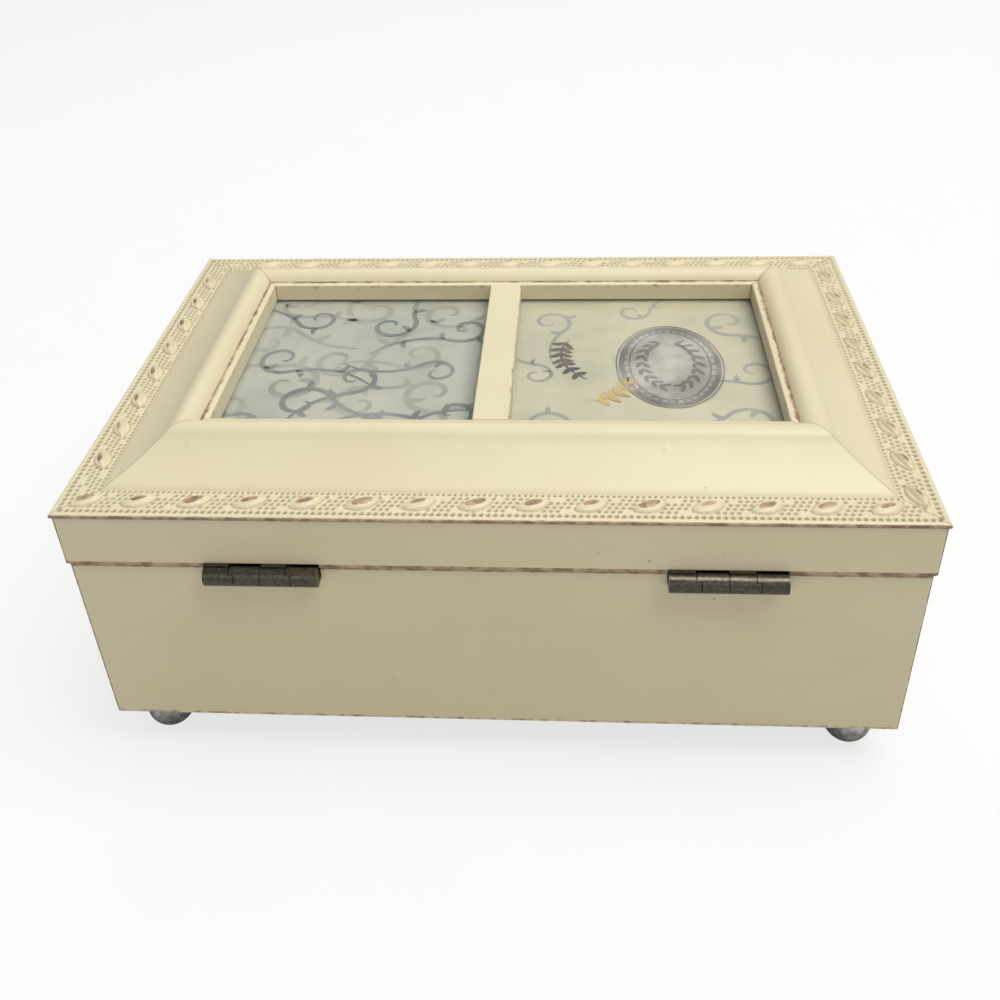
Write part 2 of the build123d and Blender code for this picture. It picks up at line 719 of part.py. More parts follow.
# Winding arbor and its butterfly key
key_top = panel_bottom - 1.6
key_bottom = 4.0
key_hub_radius = 3.2
key_hub_height = 7.0
key_wing_half = 12.0
key_wing_thickness = 1.8
key_wing_rise = 5.0
key_wing_hole = 2.2
key_grip = 5.5
arbor_overhang = 1.0
with BuildPart() as winding_arbor:
    arbor_foot = key_top - key_grip
    arbor_length = drum_top + arbor_overhang - arbor_foot
    add_rod((barrel_x, barrel_y, arbor_foot), (0, 0, 1), arbor_radius, arbor_length)
finish_piece(winding_arbor, "winding_arbor")

with BuildPart() as winding_key:
    add_rod((barrel_x, barrel_y, key_top - key_hub_height), (0, 0, 1), key_hub_radius, key_hub_height)
    with BuildSketch(plane_upright(barrel_x, barrel_y + key_wing_thickness / 2)):
        with GridLocations(key_wing_half + 0.4, 0, 2, 1):
            with Locations((0, key_bottom + key_wing_rise)):
                Ellipse(key_wing_half / 2, key_wing_rise)
        with Locations((0, key_bottom + key_wing_rise + 0.2)):
            Rectangle(2 * key_hub_radius, key_wing_rise + 1)
        with GridLocations(key_wing_half + 1.6, 0, 2, 1):
            with Locations((0, key_bottom + key_wing_rise)):
                Circle(key_wing_hole, mode=Mode.SUBTRACT)
    extrude(amount=key_wing_thickness)
    add_rod((barrel_x, barrel_y, arbor_foot), (0, 0, 1), arbor_radius + press_gap, 10, Mode.SUBTRACT)
finish_piece(winding_key, "winding_key")

# Cylinder on its axle, with three pins for each comb tooth
axle_x = (pinion_x[0] - 0.8, lug_right_x[1] + 0.4)
with BuildPart() as cylinder_axle:
    add_rod((axle_x[0], cylinder_y, cylinder_z), (1, 0, 0), axle_radius, axle_x[1] - axle_x[0])
finish_piece(cylinder_axle, "cylinder_axle")

pins_per_tooth = 3
with BuildPart() as music_cylinder:
    add_rod((drum_x[0], cylinder_y, cylinder_z), (1, 0, 0), cylinder_radius, drum_x[1] - drum_x[0])
    for number in range(comb_teeth):
        pin_x = comb_x[0] + (number + 0.5) * comb_pitch
        for turn in range(pins_per_tooth):
            angle = radians(360 * turn / pins_per_tooth + 47 * number + 13 * (number * turn % 5))
            outward = (0, cos(angle), sin(angle))
            pin_root = (
                pin_x,
                cylinder_y + (cylinder_radius - 0.4) * outward[1],
                cylinder_z + (cylinder_radius - 0.4) * outward[2],
            )
            add_rod(pin_root, outward, cylinder_pin_radius, cylinder_pin_height + 0.4)
    add_rod((drum_x[0] - 1, cylinder_y, cylinder_z), (1, 0, 0), axle_radius + press_gap, 40, Mode.SUBTRACT)
finish_piece(music_cylinder, "music_cylinder")

with BuildPart() as cylinder_pinion:
    pinion_plane = plane_across(pinion_x[0], cylinder_y, cylinder_z)
    pinion_length = pinion_x[1] - pinion_x[0]
    add_toothed_wheel(
        pinion_plane,
        pinion_teeth,
        pinion_root,
        pinion_tip,
        0.8,
        0.4,
        -90,
        pinion_length,
        axle_radius + press_gap,
    )
finish_piece(cylinder_pinion, "cylinder_pinion")

with BuildPart() as cylinder_gear:
    gear_plane = plane_across(gear_x[0], cylinder_y, cylinder_z)
    add_toothed_wheel(
        gear_plane,
        gear_teeth,
        gear_root,
        gear_tip,
        0.6,
        0.32,
        180 / gear_teeth,
        gear_x[1] - gear_x[0],
        axle_radius + press_gap,
    )
finish_piece(cylinder_gear, "cylinder_gear")

# Second wheel and pinion, cut on one arbor
with BuildPart() as second_wheel:
    arbor_x = (inner_lug_x[0] - 0.4, lug_right_x[1] + 0.4)
    add_rod((arbor_x[0], second_y, cylinder_z), (1, 0, 0), second_arbor_radius, arbor_x[1] - arbor_x[0])
    add_toothed_wheel(
        plane_across(gear_x[0] - 0.3, second_y, cylinder_z),
        small_pinion_teeth,
        small_root,
        small_tip,
        0.5,
        0.32,
        180,
        gear_x[1] - gear_x[0] + 0.6,
        0,
    )
    add_toothed_wheel(
        plane_across(wheel_x[0], second_y, cylinder_z),
        wheel_teeth,
        wheel_root,
        wheel_tip,
        0.5,
        0.28,
        180 / wheel_teeth,
        wheel_x[1] - wheel_x[0],
        0,
    )
finish_piece(second_wheel, "second_wheel")

# Governor: an upright worm whose fan brakes on the air
worm_turns = 5
worm_thread = 0.36
worm_low = cylinder_z - worm_turns / 2 * worm_pitch
shaft_bottom = lower_arm_z - 0.4
with BuildPart() as governor_worm:
    add_rod((governor_x, worm_y, shaft_bottom), (0, 0, 1), worm_shaft_radius, shaft_top - shaft_bottom)
    add_rod((governor_x, worm_y, worm_low - 0.6), (0, 0, 1), worm_core, worm_turns * worm_pitch + 1.2)
    worm_plane = Plane(origin=(governor_x, worm_y, worm_low), x_dir=(0, 1, 0), z_dir=(0, 0, 1))
    with BuildLine(worm_plane) as worm_path:
        Helix(pitch=worm_pitch, height=worm_turns * worm_pitch, radius=worm_core)
    with BuildSketch(Plane(origin=worm_path.line @ 0, x_dir=(0, 1, 0), z_dir=worm_path.line % 0)):
        with BuildLine():
            Polyline(
                (-0.15, -worm_thread / 2 - 0.06),
                (worm_crest - worm_core, -worm_thread / 2 + 0.06),
                (worm_crest - worm_core, worm_thread / 2 - 0.06),
                (-0.15, worm_thread / 2 + 0.06),
                close=True,
            )
        make_face()
    sweep(path=worm_path.line, is_frenet=True)
finish_piece(governor_worm, "governor_worm")

with BuildPart() as governor_fan:
    add_block(
        (governor_x - fan_radius, worm_y - 0.25, fan_bottom),
        (governor_x + fan_radius, worm_y + 0.25, fan_bottom + fan_height),
    )
    fillet(governor_fan.edges().filter_by(Axis.Y), 1.2)
    add_rod((governor_x, worm_y, fan_bottom), (0, 0, 1), 1.3, fan_height)
    add_rod((governor_x, worm_y, fan_bottom - 1), (0, 0, 1), worm_shaft_radius + 0.03, 10, Mode.SUBTRACT)
finish_piece(governor_fan, "governor_fan")

# Governor frame: a foot, an upright and two arms with bearings for the worm and guides for the stop rod
with BuildPart() as governor_frame:
    frame_low = (governor_x - 2.5, frame_plate_y[0])
    frame_high = (governor_x + 2.5, frame_plate_y[1])
    add_block((*frame_low, plate_top), (*frame_high, upper_arm_z + frame_arm_thickness))
    for arm_z in (lower_arm_z, upper_arm_z):
        add_block(
            (governor_x - 2.0, worm_y - 1.6, arm_z),
            (governor_x + 2.0, frame_plate_y[0], arm_z + frame_arm_thickness),
        )
    add_rod((governor_x, worm_y, plate_top), (0, 0, 1), worm_shaft_radius + running_gap, 40, Mode.SUBTRACT)
    add_rod((governor_x, stop_rod_y, plate_top), (0, 0, 1), stop_rod_radius + 0.08, 40, Mode.SUBTRACT)
finish_piece(governor_frame, "governor_frame")

# Stop rod: the closed lid holds it down, so that its felt pad rests over the fan's shaft
stop_lift = 2.5
pad_thickness = 0.9
pad_bottom = shaft_top + 0.12
arm_bottom = pad_bottom + pad_thickness
arm_thickness = 0.8
stop_rod_bottom = lower_arm_z - 0.5
with BuildPart() as stop_rod:
    rod_length = lid_ceiling - 0.3 - stop_rod_bottom
    add_rod((governor_x, stop_rod_y, stop_rod_bottom), (0, 0, 1), stop_rod_radius, rod_length)
    add_block(
        (governor_x - 1.2, worm_y - 1.2, arm_bottom),
        (governor_x + 1.2, stop_rod_y, arm_bottom + arm_thickness),
    )
finish_piece(stop_rod, "stop_rod")

with BuildPart() as stop_pad:
    add_rod((governor_x, worm_y, pad_bottom), (0, 0, 1), 1.2, pad_thickness)
finish_piece(stop_pad, "stop_pad")

print("lifted stop arm", round(arm_bottom + arm_thickness + stop_lift, 2), "cover", cover_bottom)
print("seam", round(lid_bottom, 2), "rim", round(rim_top, 2), "crest", round(rim_top + crest_rise, 2))
print("hinge axis y", round(hinge_y - outline_shift, 3), "z", round(hinge_z, 3))
print("cylinder axis y", round(cylinder_y - outline_shift, 3), "z", round(cylinder_z, 3))
print("second arbor y", round(second_y - outline_shift, 3), "worm y", round(worm_y - outline_shift, 3))
print("stop rod y", round(stop_rod_y - outline_shift, 3), "outline shift", round(outline_shift, 3))
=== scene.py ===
# %% [markdown]
# # A cream keepsake music box
# The box is a painted case with a picture-frame lid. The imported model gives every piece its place
# and size, so it is loaded first. New pieces are made round it, in metres, in the same frame:
# the front is towards -Y, the hinges are at +Y and the floor is at zero.

# %% Load the frame
import json
import math

import bmesh
import bpy
import numpy as np
from mathutils import Matrix, Vector


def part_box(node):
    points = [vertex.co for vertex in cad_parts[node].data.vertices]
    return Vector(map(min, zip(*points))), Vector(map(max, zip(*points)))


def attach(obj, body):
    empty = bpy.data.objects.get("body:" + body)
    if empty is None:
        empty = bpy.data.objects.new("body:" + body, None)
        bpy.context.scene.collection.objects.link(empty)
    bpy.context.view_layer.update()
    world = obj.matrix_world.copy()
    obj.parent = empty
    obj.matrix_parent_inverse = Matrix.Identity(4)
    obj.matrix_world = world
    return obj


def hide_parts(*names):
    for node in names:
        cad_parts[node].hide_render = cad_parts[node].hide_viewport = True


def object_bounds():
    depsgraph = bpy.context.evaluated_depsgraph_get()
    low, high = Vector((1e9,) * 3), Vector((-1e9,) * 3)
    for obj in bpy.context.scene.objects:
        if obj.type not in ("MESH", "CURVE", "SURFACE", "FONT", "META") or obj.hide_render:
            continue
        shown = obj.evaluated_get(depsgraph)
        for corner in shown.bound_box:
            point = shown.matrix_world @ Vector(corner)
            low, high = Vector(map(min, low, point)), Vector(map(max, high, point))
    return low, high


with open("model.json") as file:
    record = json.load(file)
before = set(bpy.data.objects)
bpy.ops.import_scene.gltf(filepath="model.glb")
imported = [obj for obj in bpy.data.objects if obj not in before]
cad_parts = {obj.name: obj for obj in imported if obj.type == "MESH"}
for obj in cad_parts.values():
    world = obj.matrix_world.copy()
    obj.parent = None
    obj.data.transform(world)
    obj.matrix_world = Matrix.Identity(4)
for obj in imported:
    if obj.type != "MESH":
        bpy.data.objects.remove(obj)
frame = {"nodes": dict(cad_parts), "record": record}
cad_low, cad_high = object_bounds()
MM = 0.001
print("case and lid:", [round(v / MM, 1) for v in cad_high - cad_low], "mm")

# %% [markdown]
# ## Camera
# The box is seen from behind and above, with the hinges near. A view is a place, a direction and a
# lens. Here the direction is given by azimuth, elevation and a small roll, because those are the
# words a photographer would use.

# %% Camera
view_place = Vector((-19.99, 248.99, 239.61)) * MM
view_azimuth, view_elevation, view_roll = (math.radians(a) for a in (-4.614, 32.085, -2.383))
focal_pixels, image_pixels, sensor_mm = 1086.3, 1000.0, 36.0
optical_centre = (503.0, 360.0)

forward = Vector((
    -math.sin(view_azimuth) * math.cos(view_elevation),
    -math.cos(view_azimuth) * math.cos(view_elevation),
    -math.sin(view_elevation),
))
level_right = forward.cross(Vector((0, 0, 1))).normalized()
level_up = level_right.cross(forward)
right = math.cos(view_roll) * level_right + math.sin(view_roll) * level_up
up = math.cos(view_roll) * level_up - math.sin(view_roll) * level_right
camera_data = bpy.data.cameras.new("camera")
camera_data.lens = focal_pixels / image_pixels * sensor_mm
camera_data.sensor_width = sensor_mm
camera_data.shift_x = (image_pixels / 2 - optical_centre[0]) / image_pixels
camera_data.shift_y = (optical_centre[1] - image_pixels / 2) / image_pixels
camera = bpy.data.objects.new("camera", camera_data)
turned = Matrix((right, up, -forward)).transposed().to_4x4()
camera.matrix_world = Matrix.Translation(view_place) @ turned
bpy.context.scene.collection.objects.link(camera)
bpy.context.scene.camera = camera
print("lens", round(camera_data.lens, 1), "mm")
print("looking down", round(math.degrees(view_elevation), 1), "degrees")

# %% [markdown]
# ## Floor and light
# A product shot wants soft light. The world gives an even fill. The key panel hangs high on one
# side, so that the top is bright and the moulding's slopes differ. A weak panel behind the camera
# lights the back wall evenly, and one over the front lifts the far slopes. The floor is a big disc.
# The camera sees the world as plain white, which a Light Path node decides.

# %% Floor and light
scene = bpy.context.scene
scene.view_settings.view_transform = "Standard"


def add_panel(name, place, target, size, power, tint):
    """A square soft light at a place, facing a target."""
    lamp = bpy.data.lights.new(name, "AREA")
    lamp.size = size
    lamp.energy = power
    lamp.color = tint
    panel = bpy.data.objects.new(name, lamp)
    panel.location = place
    panel.rotation_euler = (Vector(target) - Vector(place)).to_track_quat("-Z", "Y").to_euler()
    scene.collection.objects.link(panel)


add_panel("key_panel", (-0.62, 0.16, 1.62), (0, 0, 0.05), 1.2, 22.0, (1.0, 0.985, 0.96))
add_panel("wall_panel", (0.15, 1.30, 0.75), (0, 0, 0.03), 1.0, 2.0, (1.0, 0.99, 0.97))
add_panel("far_panel", (0.15, -0.60, 0.95), (0, 0, 0.05), 0.5, 1.6, (0.98, 0.99, 1.0))

world = bpy.data.worlds.new("room")
world.use_nodes = True
scene.world = world
sky = world.node_tree
sky.nodes.clear()
ray = sky.nodes.new("ShaderNodeLightPath")
fill = sky.nodes.new("ShaderNodeBackground")
fill.inputs["Color"].default_value = (0.96, 0.98, 1.0, 1)
fill.inputs["Strength"].default_value = 0.31
white = sky.nodes.new("ShaderNodeBackground")
white.inputs["Strength"].default_value = 1.0
choose = sky.nodes.new("ShaderNodeMixShader")
world_out = sky.nodes.new("ShaderNodeOutputWorld")
sky.links.new(ray.outputs["Is Camera Ray"], choose.inputs[0])
sky.links.new(fill.outputs[0], choose.inputs[1])
sky.links.new(white.outputs[0], choose.inputs[2])
sky.links.new(choose.outputs[0], world_out.inputs["Surface"])

floor_mesh = bpy.data.meshes.new("floor")
floor_bm = bmesh.new()
bmesh.ops.create_circle(floor_bm, cap_ends=True, segments=96, radius=3.0)
floor_bm.to_mesh(floor_mesh)
floor_bm.free()
floor = bpy.data.objects.new("floor", floor_mesh)
scene.collection.objects.link(floor)

# %% [markdown]
# ## Small helpers for materials
# A material is a graph. These helpers add a node, link two sockets and give the usual building
# blocks: noise on Object coordinates, a threshold and a colour mix. Patterns are in object space,
# so they keep still when a piece moves with its body.

# %% Material helpers


class Recipe:
    """A material being mixed: keeps the graph and the shader at hand."""

    def __init__(self, name, rough, metal=0.0, coat=0.0, specular=0.5):
        self.material = bpy.data.materials.new(name)
        self.material.use_nodes = True
        self.tree = self.material.node_tree
        self.shader = self.tree.nodes["Principled BSDF"]
        self.shader.inputs["Roughness"].default_value = rough
        self.shader.inputs["Metallic"].default_value = metal
        self.shader.inputs["Coat Weight"].default_value = coat
        self.shader.inputs["Specular IOR Level"].default_value = specular
        self.place = self.node("ShaderNodeTexCoord").outputs["Object"]
        self.bumps = None

    def node(self, kind, **settings):
        made = self.tree.nodes.new(kind)
        for key, value in settings.items():
            setattr(made, key, value)
        return made

    def link(self, source, target):
        self.tree.links.new(source, target)

    def stretched(self, scale):
        """Object coordinates scaled unevenly, for brushed or woven patterns."""
        mapping = self.node("ShaderNodeMapping")
        mapping.inputs["Scale"].default_value = scale
        self.link(self.place, mapping.inputs["Vector"])
        return mapping.outputs["Vector"]

    def noise(self, scale, detail=4.0, rough=0.55, vector=None):
        """Soft cloudy noise between 0 and 1."""
        made = self.node("ShaderNodeTexNoise")
        made.inputs["Scale"].default_value = scale
        made.inputs["Detail"].default_value = detail
        made.inputs["Roughness"].default_value = rough
        self.link(vector or self.place, made.inputs["Vector"])
        return made.outputs["Fac"]

    def cells(self, scale):
        """Distance to the nearest of many scattered points."""
        made = self.node("ShaderNodeTexVoronoi")
        made.inputs["Scale"].default_value = scale
        self.link(self.place, made.inputs["Vector"])
        return made.outputs["Distance"]

    def mark(self, channel):
        """One channel of the piece's marks: rub, with some painted shade in it, or glaze with painted
        shade.
        """
        attribute = self.node("ShaderNodeAttribute", attribute_name="marks")
        split = self.node("ShaderNodeSeparateColor")
        self.link(attribute.outputs["Color"], split.inputs[0])
        return split.outputs[("rub", "glaze_and_shade").index(channel)]

    def math(self, operation, first, second=None, third=None):
        made = self.node("ShaderNodeMath", operation=operation)
        for socket, value in zip(made.inputs, (first, second, third)):
            if value is None:
                continue
            if isinstance(value, (int, float)):
                socket.default_value = value
            else:
                self.link(value, socket)
        return made.outputs[0]

    def between(self, value, low, high):
        """A soft step from 0 at low to 1 at high."""
        made = self.node("ShaderNodeMapRange", interpolation_type="SMOOTHSTEP")
        made.inputs["From Min"].default_value = low
        made.inputs["From Max"].default_value = high
        self.link(value, made.inputs["Value"])
        return made.outputs[0]

    def mix(self, share, first, second):
        made = self.node("ShaderNodeMix", data_type="RGBA")
        colours = [s for s in made.inputs if s.type == "RGBA"]
        self.link(share, made.inputs[0])
        for socket, colour in zip(colours, (first, second)):
            if isinstance(colour, tuple):
                socket.default_value = (*colour, 1)
            else:
                self.link(colour, socket)
        return next(s for s in made.outputs if s.type == "RGBA")

    def bump(self, height, strength, distance):
        """Adds one layer of bump over those already there."""
        made = self.node("ShaderNodeBump")
        made.inputs["Strength"].default_value = strength
        made.inputs["Distance"].default_value = distance
        self.link(height, made.inputs["Height"])
        if self.bumps:
            self.link(self.bumps, made.inputs["Normal"])
        self.bumps = made.outputs[0]
        self.link(self.bumps, self.shader.inputs["Normal"])

    def colour(self, value):
        if isinstance(value, tuple):
            self.shader.inputs["Base Color"].default_value = (*value, 1)
        else:
            self.link(value, self.shader.inputs["Base Color"])

    def rough(self, value):
        self.link(value, self.shader.inputs["Roughness"])


# %% [markdown]
# ## The floor's paper
# A pale floor with a faint tooth. Seen from the camera it is almost white, so the box stands on a
# light ground but keeps its shadow.

# %% Floor material
paper = Recipe("floor_paper", 0.9, specular=0.1)
paper.colour(paper.mix(paper.noise(40.0), (0.58, 0.58, 0.57), (0.62, 0.62, 0.61)))
paper_glow = paper.node("ShaderNodeLightPath")
paper_white = paper.node("ShaderNodeEmission")
paper_white.inputs["Strength"].default_value = 1.22
paper_mix = paper.node("ShaderNodeMixShader")
paper_share = paper.math("MULTIPLY", paper_glow.outputs["Is Camera Ray"], 0.6)
paper.link(paper_share, paper_mix.inputs[0])
paper.link(paper.shader.outputs[0], paper_mix.inputs[1])
paper.link(paper_white.outputs[0], paper_mix.inputs[2])
paper.link(paper_mix.outputs[0], paper.tree.nodes["Material Output"].inputs["Surface"])
floor.data.materials.append(paper.material)

# %% [markdown]
# ## Cream paint, rubbed through
# The real finish is a cream lacquer over a red-brown ground. Along edges and on raised leaves it is
# rubbed back until the ground shows, and a grey-brown glaze is left in the hollows. The grey-brown
# is also painted onto the leaves as shade. Each painted piece carries an attribute called marks: red
# says where rubbing reaches, and it also carries a painted shadow line in the crease at the foot of
# the crest's roll and, on the leaves, brown that leans onto their shaded side; green says where glaze
# lies and where shade is painted on the leaves. Noise breaks both up, so that no line is even.

# %% Paint
cream_light = (0.80, 0.715, 0.485)
cream_warm = (0.765, 0.675, 0.44)
ground_brown = (0.26, 0.16, 0.095)
ground_pale = (0.58, 0.40, 0.26)
glaze_and_shade_brown = (0.20, 0.15, 0.09)
streak_cream = (0.70, 0.61, 0.40)
speck_brown = (0.36, 0.29, 0.19)


def make_paint():
    paint = Recipe("cream_paint", 0.42, coat=0.06)
    paint.shader.inputs["Coat Roughness"].default_value = 0.3
    drift = paint.noise(14.0, 3.0)
    coat = paint.mix(paint.between(drift, 0.3, 0.7), cream_light, cream_warm)
    streak = paint.noise(1.0, 3.0, vector=paint.stretched((30.0, 30.0, 90.0)))
    coat = paint.mix(paint.math("MULTIPLY", paint.between(streak, 0.5, 0.85), 0.35), coat, streak_cream)
    speck = paint.math("LESS_THAN", paint.cells(95.0), 0.035)
    coat = paint.mix(paint.math("MULTIPLY", speck, 0.65), coat, speck_brown)
    # The glaze channel darkens the coat towards the glaze colour: glaze in dimples, grooves and joints,
    # and shade painted on the leaves.
    glaze_and_shade = paint.math("MULTIPLY", paint.mark("glaze_and_shade"), 0.85)
    coat = paint.mix(glaze_and_shade, coat, glaze_and_shade_brown)
    unevenness = paint.math("MULTIPLY_ADD", paint.noise(420.0, 5.0), 0.9, -0.45)
    # The rub channel bares the brown ground: wear on arrises and leaves, and also painted shade, a
    # shadow line in the crease at the foot of the crest's roll and brown on the leaves' shaded outer
    # side.
    ragged = paint.math("ADD", paint.mark("rub"), unevenness)
    rub = paint.between(ragged, 0.40, 0.66)
    brown = paint.mix(paint.between(paint.noise(330.0, 4.0), 0.35, 0.65), ground_brown, ground_pale)
    paint.colour(paint.mix(rub, coat, brown))
    paint.rough(paint.math("MULTIPLY_ADD", paint.noise(60.0), 0.16, 0.34))
    paint.bump(paint.noise(650.0, 2.0), 0.25, 0.0001)
    paint.bump(paint.noise(150.0, 3.0), 0.30, 0.0004)
    nib = paint.between(paint.cells(70.0), 0.10, 0.0)
    paint.bump(nib, 0.5, 0.00025)
    paint.bump(paint.math("MULTIPLY", rub, -1.0), 0.35, 0.00006)
    return paint.material


cream_paint = make_paint()
print("paint ready:", cream_paint.name)

# %% [markdown]
# ## Making pieces
# Most small pieces keep their exact shape from the frame. To look made, they need softened edges
# and smooth curves, so a copy of the node is welded, its flat faces are joined and its sharp edges
# are bevelled. The copy then stands for the node. Painted pieces also get their marks, worked out
# from where each vertex lies. In the shading large flat faces lead, so that a wall stays even up to
# its rounded edges.

# %% Piece helpers
sharp_corner = math.radians(40.0)
body_of_node = {n: b for b, members in frame["record"]["behaviour"]["bodies"].items() for n in members}


def add_object(name, mesh, material, smooth_angle=35.0):
    mesh.shade_smooth()
    mesh.set_sharp_from_angle(angle=math.radians(smooth_angle))
    mesh.materials.clear()
    mesh.materials.append(material)
    piece = bpy.data.objects.new(name, mesh)
    scene.collection.objects.link(piece)
    flat = piece.modifiers.new("flat_faces_lead", "WEIGHTED_NORMAL")
    flat.keep_sharp = True
    return piece


def stand_for(piece, *nodes):
    """The piece rides with its nodes' body and is shown instead of them."""
    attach(piece, body_of_node[nodes[0]])
    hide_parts(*nodes)
    return piece


def mesh_from(bm, name):
    mesh = bpy.data.meshes.new(name)
    bm.to_mesh(mesh)
    bm.free()
    return mesh


def welded_copy(node):
    bm = bmesh.new()
    bm.from_mesh(frame["nodes"][node].data)
    bmesh.ops.remove_doubles(bm, verts=bm.verts, dist=0.000002)
    bmesh.ops.dissolve_limit(bm, angle_limit=math.radians(0.5), verts=bm.verts, edges=bm.edges)
    return bm


def bevel_sharp(bm, width, segments):
    sharp = [e for e in bm.edges if e.is_manifold and e.calc_face_angle(0.0) > sharp_corner]
    if sharp:
        bmesh.ops.bevel(
            bm, geom=sharp, offset=width, segments=segments, profile=0.5, affect="EDGES",
            material=-1, clamp_overlap=True,
        )


def dressed(node, material, width, segments=2):
    """A node's own shape with softened edges and a finish, shown instead of the node."""
    bm = welded_copy(node)
    bevel_sharp(bm, width, segments)
    piece = add_object(f"{node}_finished", mesh_from(bm, node), material)
    return stand_for(piece, node)


def paint_marks(mesh, marks_at):
    """Writes rub and glaze for every vertex, painted shade included. marks_at takes x, y, z arrays in
    millimetres.
    """
    places = np.zeros(len(mesh.vertices) * 3)
    mesh.vertices.foreach_get("co", places)
    places = places.reshape(-1, 3) / MM
    colours = np.zeros((len(places), 4))
    colours[:, 0], colours[:, 1] = marks_at(places[:, 0], places[:, 1], places[:, 2])
    colours[:, 3] = 1.0
    layer = mesh.color_attributes.new("marks", "FLOAT_COLOR", "POINT")
    layer.data.foreach_set("color", np.clip(colours, 0, 1).ravel())


# %% [markdown]
# ## The moulding
# A framer cuts four mitred lengths of one moulding. Its outer band is pressed with a row of round
# dimples, slanted leaves with clusters of dimples between them, and an inner row of finer dimples.
# Inside the band a cove climbs to a rounded crest and rolls down to a flat lip.
# Each length starts as a flat grid. One way of the grid runs along the rail and the other follows
# the section, and every vertex is moved to its place. In the band the vertices are a fifth of a
# millimetre apart, so the relief is real geometry.

# %% Moulding section
rim_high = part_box("moulding_back")[1] / MM
plan_front, plan_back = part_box("moulding_front")[0].y / MM, rim_high.y
middle_y = (plan_front + plan_back) / 2
half_width, half_depth = cad_high.x / MM, (plan_back - plan_front) / 2
band_end, cove_end, cove_rise = 9.4, 21.5, 7.0
crest_at, crest_rise = 25.0, 8.6
rim_top = rim_high.z - crest_rise
lip_start, lip_end, lip_rise = 28.4, 30.4, 6.0
window_floor, rebate_at = 1.1, 26.0
bead_radius = 0.7
fine_step = 0.2


def arc_through(first, middle, last, count):
    """Points on the circle through three points, without the first one."""
    (ax, ay), (bx, by), (cx, cy) = first, middle, last
    a_square, b_square, c_square = ax**2 + ay**2, bx**2 + by**2, cx**2 + cy**2
    d = 2 * (ax * (by - cy) + bx * (cy - ay) + cx * (ay - by))
    ux = (a_square * (by - cy) + b_square * (cy - ay) + c_square * (ay - by)) / d
    uy = (a_square * (cx - bx) + b_square * (ax - cx) + c_square * (bx - ax)) / d
    radius = math.hypot(ax - ux, ay - uy)
    start, mid, end = (math.atan2(y - uy, x - ux) for x, y in (first, middle, last))
    turn = (end - start) % (2 * math.pi)
    if (mid - start) % (2 * math.pi) > turn:
        turn -= 2 * math.pi
    steps = [start + turn * (k + 1) / count for k in range(count)]
    return [(ux + radius * math.cos(a), uy + radius * math.sin(a)) for a in steps]


def moulding_section():
    """The section as (distance in from the rim, height over the rim's top), closed."""
    points = [(bead_radius, -2 * bead_radius)]
    points += arc_through(points[-1], (0.0, -bead_radius), (bead_radius, 0.0), 8)
    band = band_end - bead_radius
    band_steps = round(band / fine_step)
    points += [(bead_radius + band * (k + 1) / band_steps, 0.0) for k in range(band_steps)]
    cove_foot, cove_middle = (band_end, 0.12), ((band_end + cove_end) / 2, 3.1)
    points += arc_through(cove_foot, cove_middle, (cove_end, cove_rise - 0.02), 9)
    crest, shoulder = (crest_at, crest_rise), (crest_at - 1.9, crest_rise - 0.4)
    points += arc_through((cove_end, cove_rise), shoulder, crest, 6)
    points += arc_through(crest, (crest_at + 1.9, crest_rise - 0.75), (lip_start, lip_rise), 8)
    points += [(lip_end - 0.35, lip_rise), (lip_end - 0.1, lip_rise - 0.1), (lip_end, lip_rise - 0.35)]
    points += [(lip_end, window_floor), (rebate_at, window_floor), (rebate_at, -2 * bead_radius)]
    points += [points[0]]
    return np.array(points)


section = moulding_section()
print("section points:", len(section))

# %% [markdown]
# ## The pressed ornament
# The relief is a function of two distances: along the rail and in from the rim. A dimple is a round
# hollow, a leaf is a slanted almond with a domed back. The same function says where glaze settles,
# where shade is painted on the leaves and where the paint is rubbed off, so colour and shape always
# agree. Each rail has its own first leaf, the distance from its middle up to which leaves are kept,
# how far the rubbed patch spreads and leans out onto the leaves' shaded side, which is partly painted
# shade, and how dark the shade painted on the leaves is.

# %% Ornament
leaf_pitch = 13.1
leaf_row, leaf_half_length, leaf_half_width, leaf_slant = 5.3, 4.15, 2.0, math.radians(21)
outer_row, outer_pitch, outer_radius = 1.75, 1.6, 0.64
inner_row, inner_pitch, inner_radius = 8.7, 1.35, 0.46
cluster_rows, cluster_pitch, cluster_radius = (3.4, 4.75, 6.1, 7.45), 1.55, 0.62
outer_depth, inner_depth, cluster_depth = 0.42, 0.3, 0.36
leaf_phase = {"back": -3.0, "front": 1.6, "right": 4.7, "left": -2.7}
leaf_reach = {
    "back": half_width - 6.5, "front": half_width - 9,
    "right": half_depth - 9, "left": half_depth - 9,
}
# Per rail, the rubbed patch's size and its lean outwards; on all rails but the back the lean also puts
# brown on the leaves' shaded outer side, so it is partly painted shade.
leaf_wear_and_shade = {"back": (0.95, 0.05), "front": (0.3, 0.4), "right": (0.62, 0.55), "left": (0.6, 0.6)}
leaf_shade = {"back": 0.12, "front": 0.1, "right": 0.2, "left": 0.55}


def hollow(distance, radius):
    """Depth share of a round dimple, 1 at its middle."""
    return np.clip(1 - (distance / radius) ** 2, 0, 1)


def leaf_space(along, across, phase, reach):
    """Which leaf is nearest, how far along and across it lies, and how wide the leaf is there."""
    number = np.round((along - phase) / leaf_pitch)
    da = along - phase - number * leaf_pitch
    dw = across - leaf_row
    p = da * math.cos(leaf_slant) + dw * math.sin(leaf_slant)
    q = -da * math.sin(leaf_slant) + dw * math.cos(leaf_slant)
    half = leaf_half_width * np.clip(1 - (p / leaf_half_length) ** 2, 0.0, 1) ** 0.9
    kept = np.abs(phase + number * leaf_pitch) < reach
    return number, p, q, np.where(kept, half, 0)


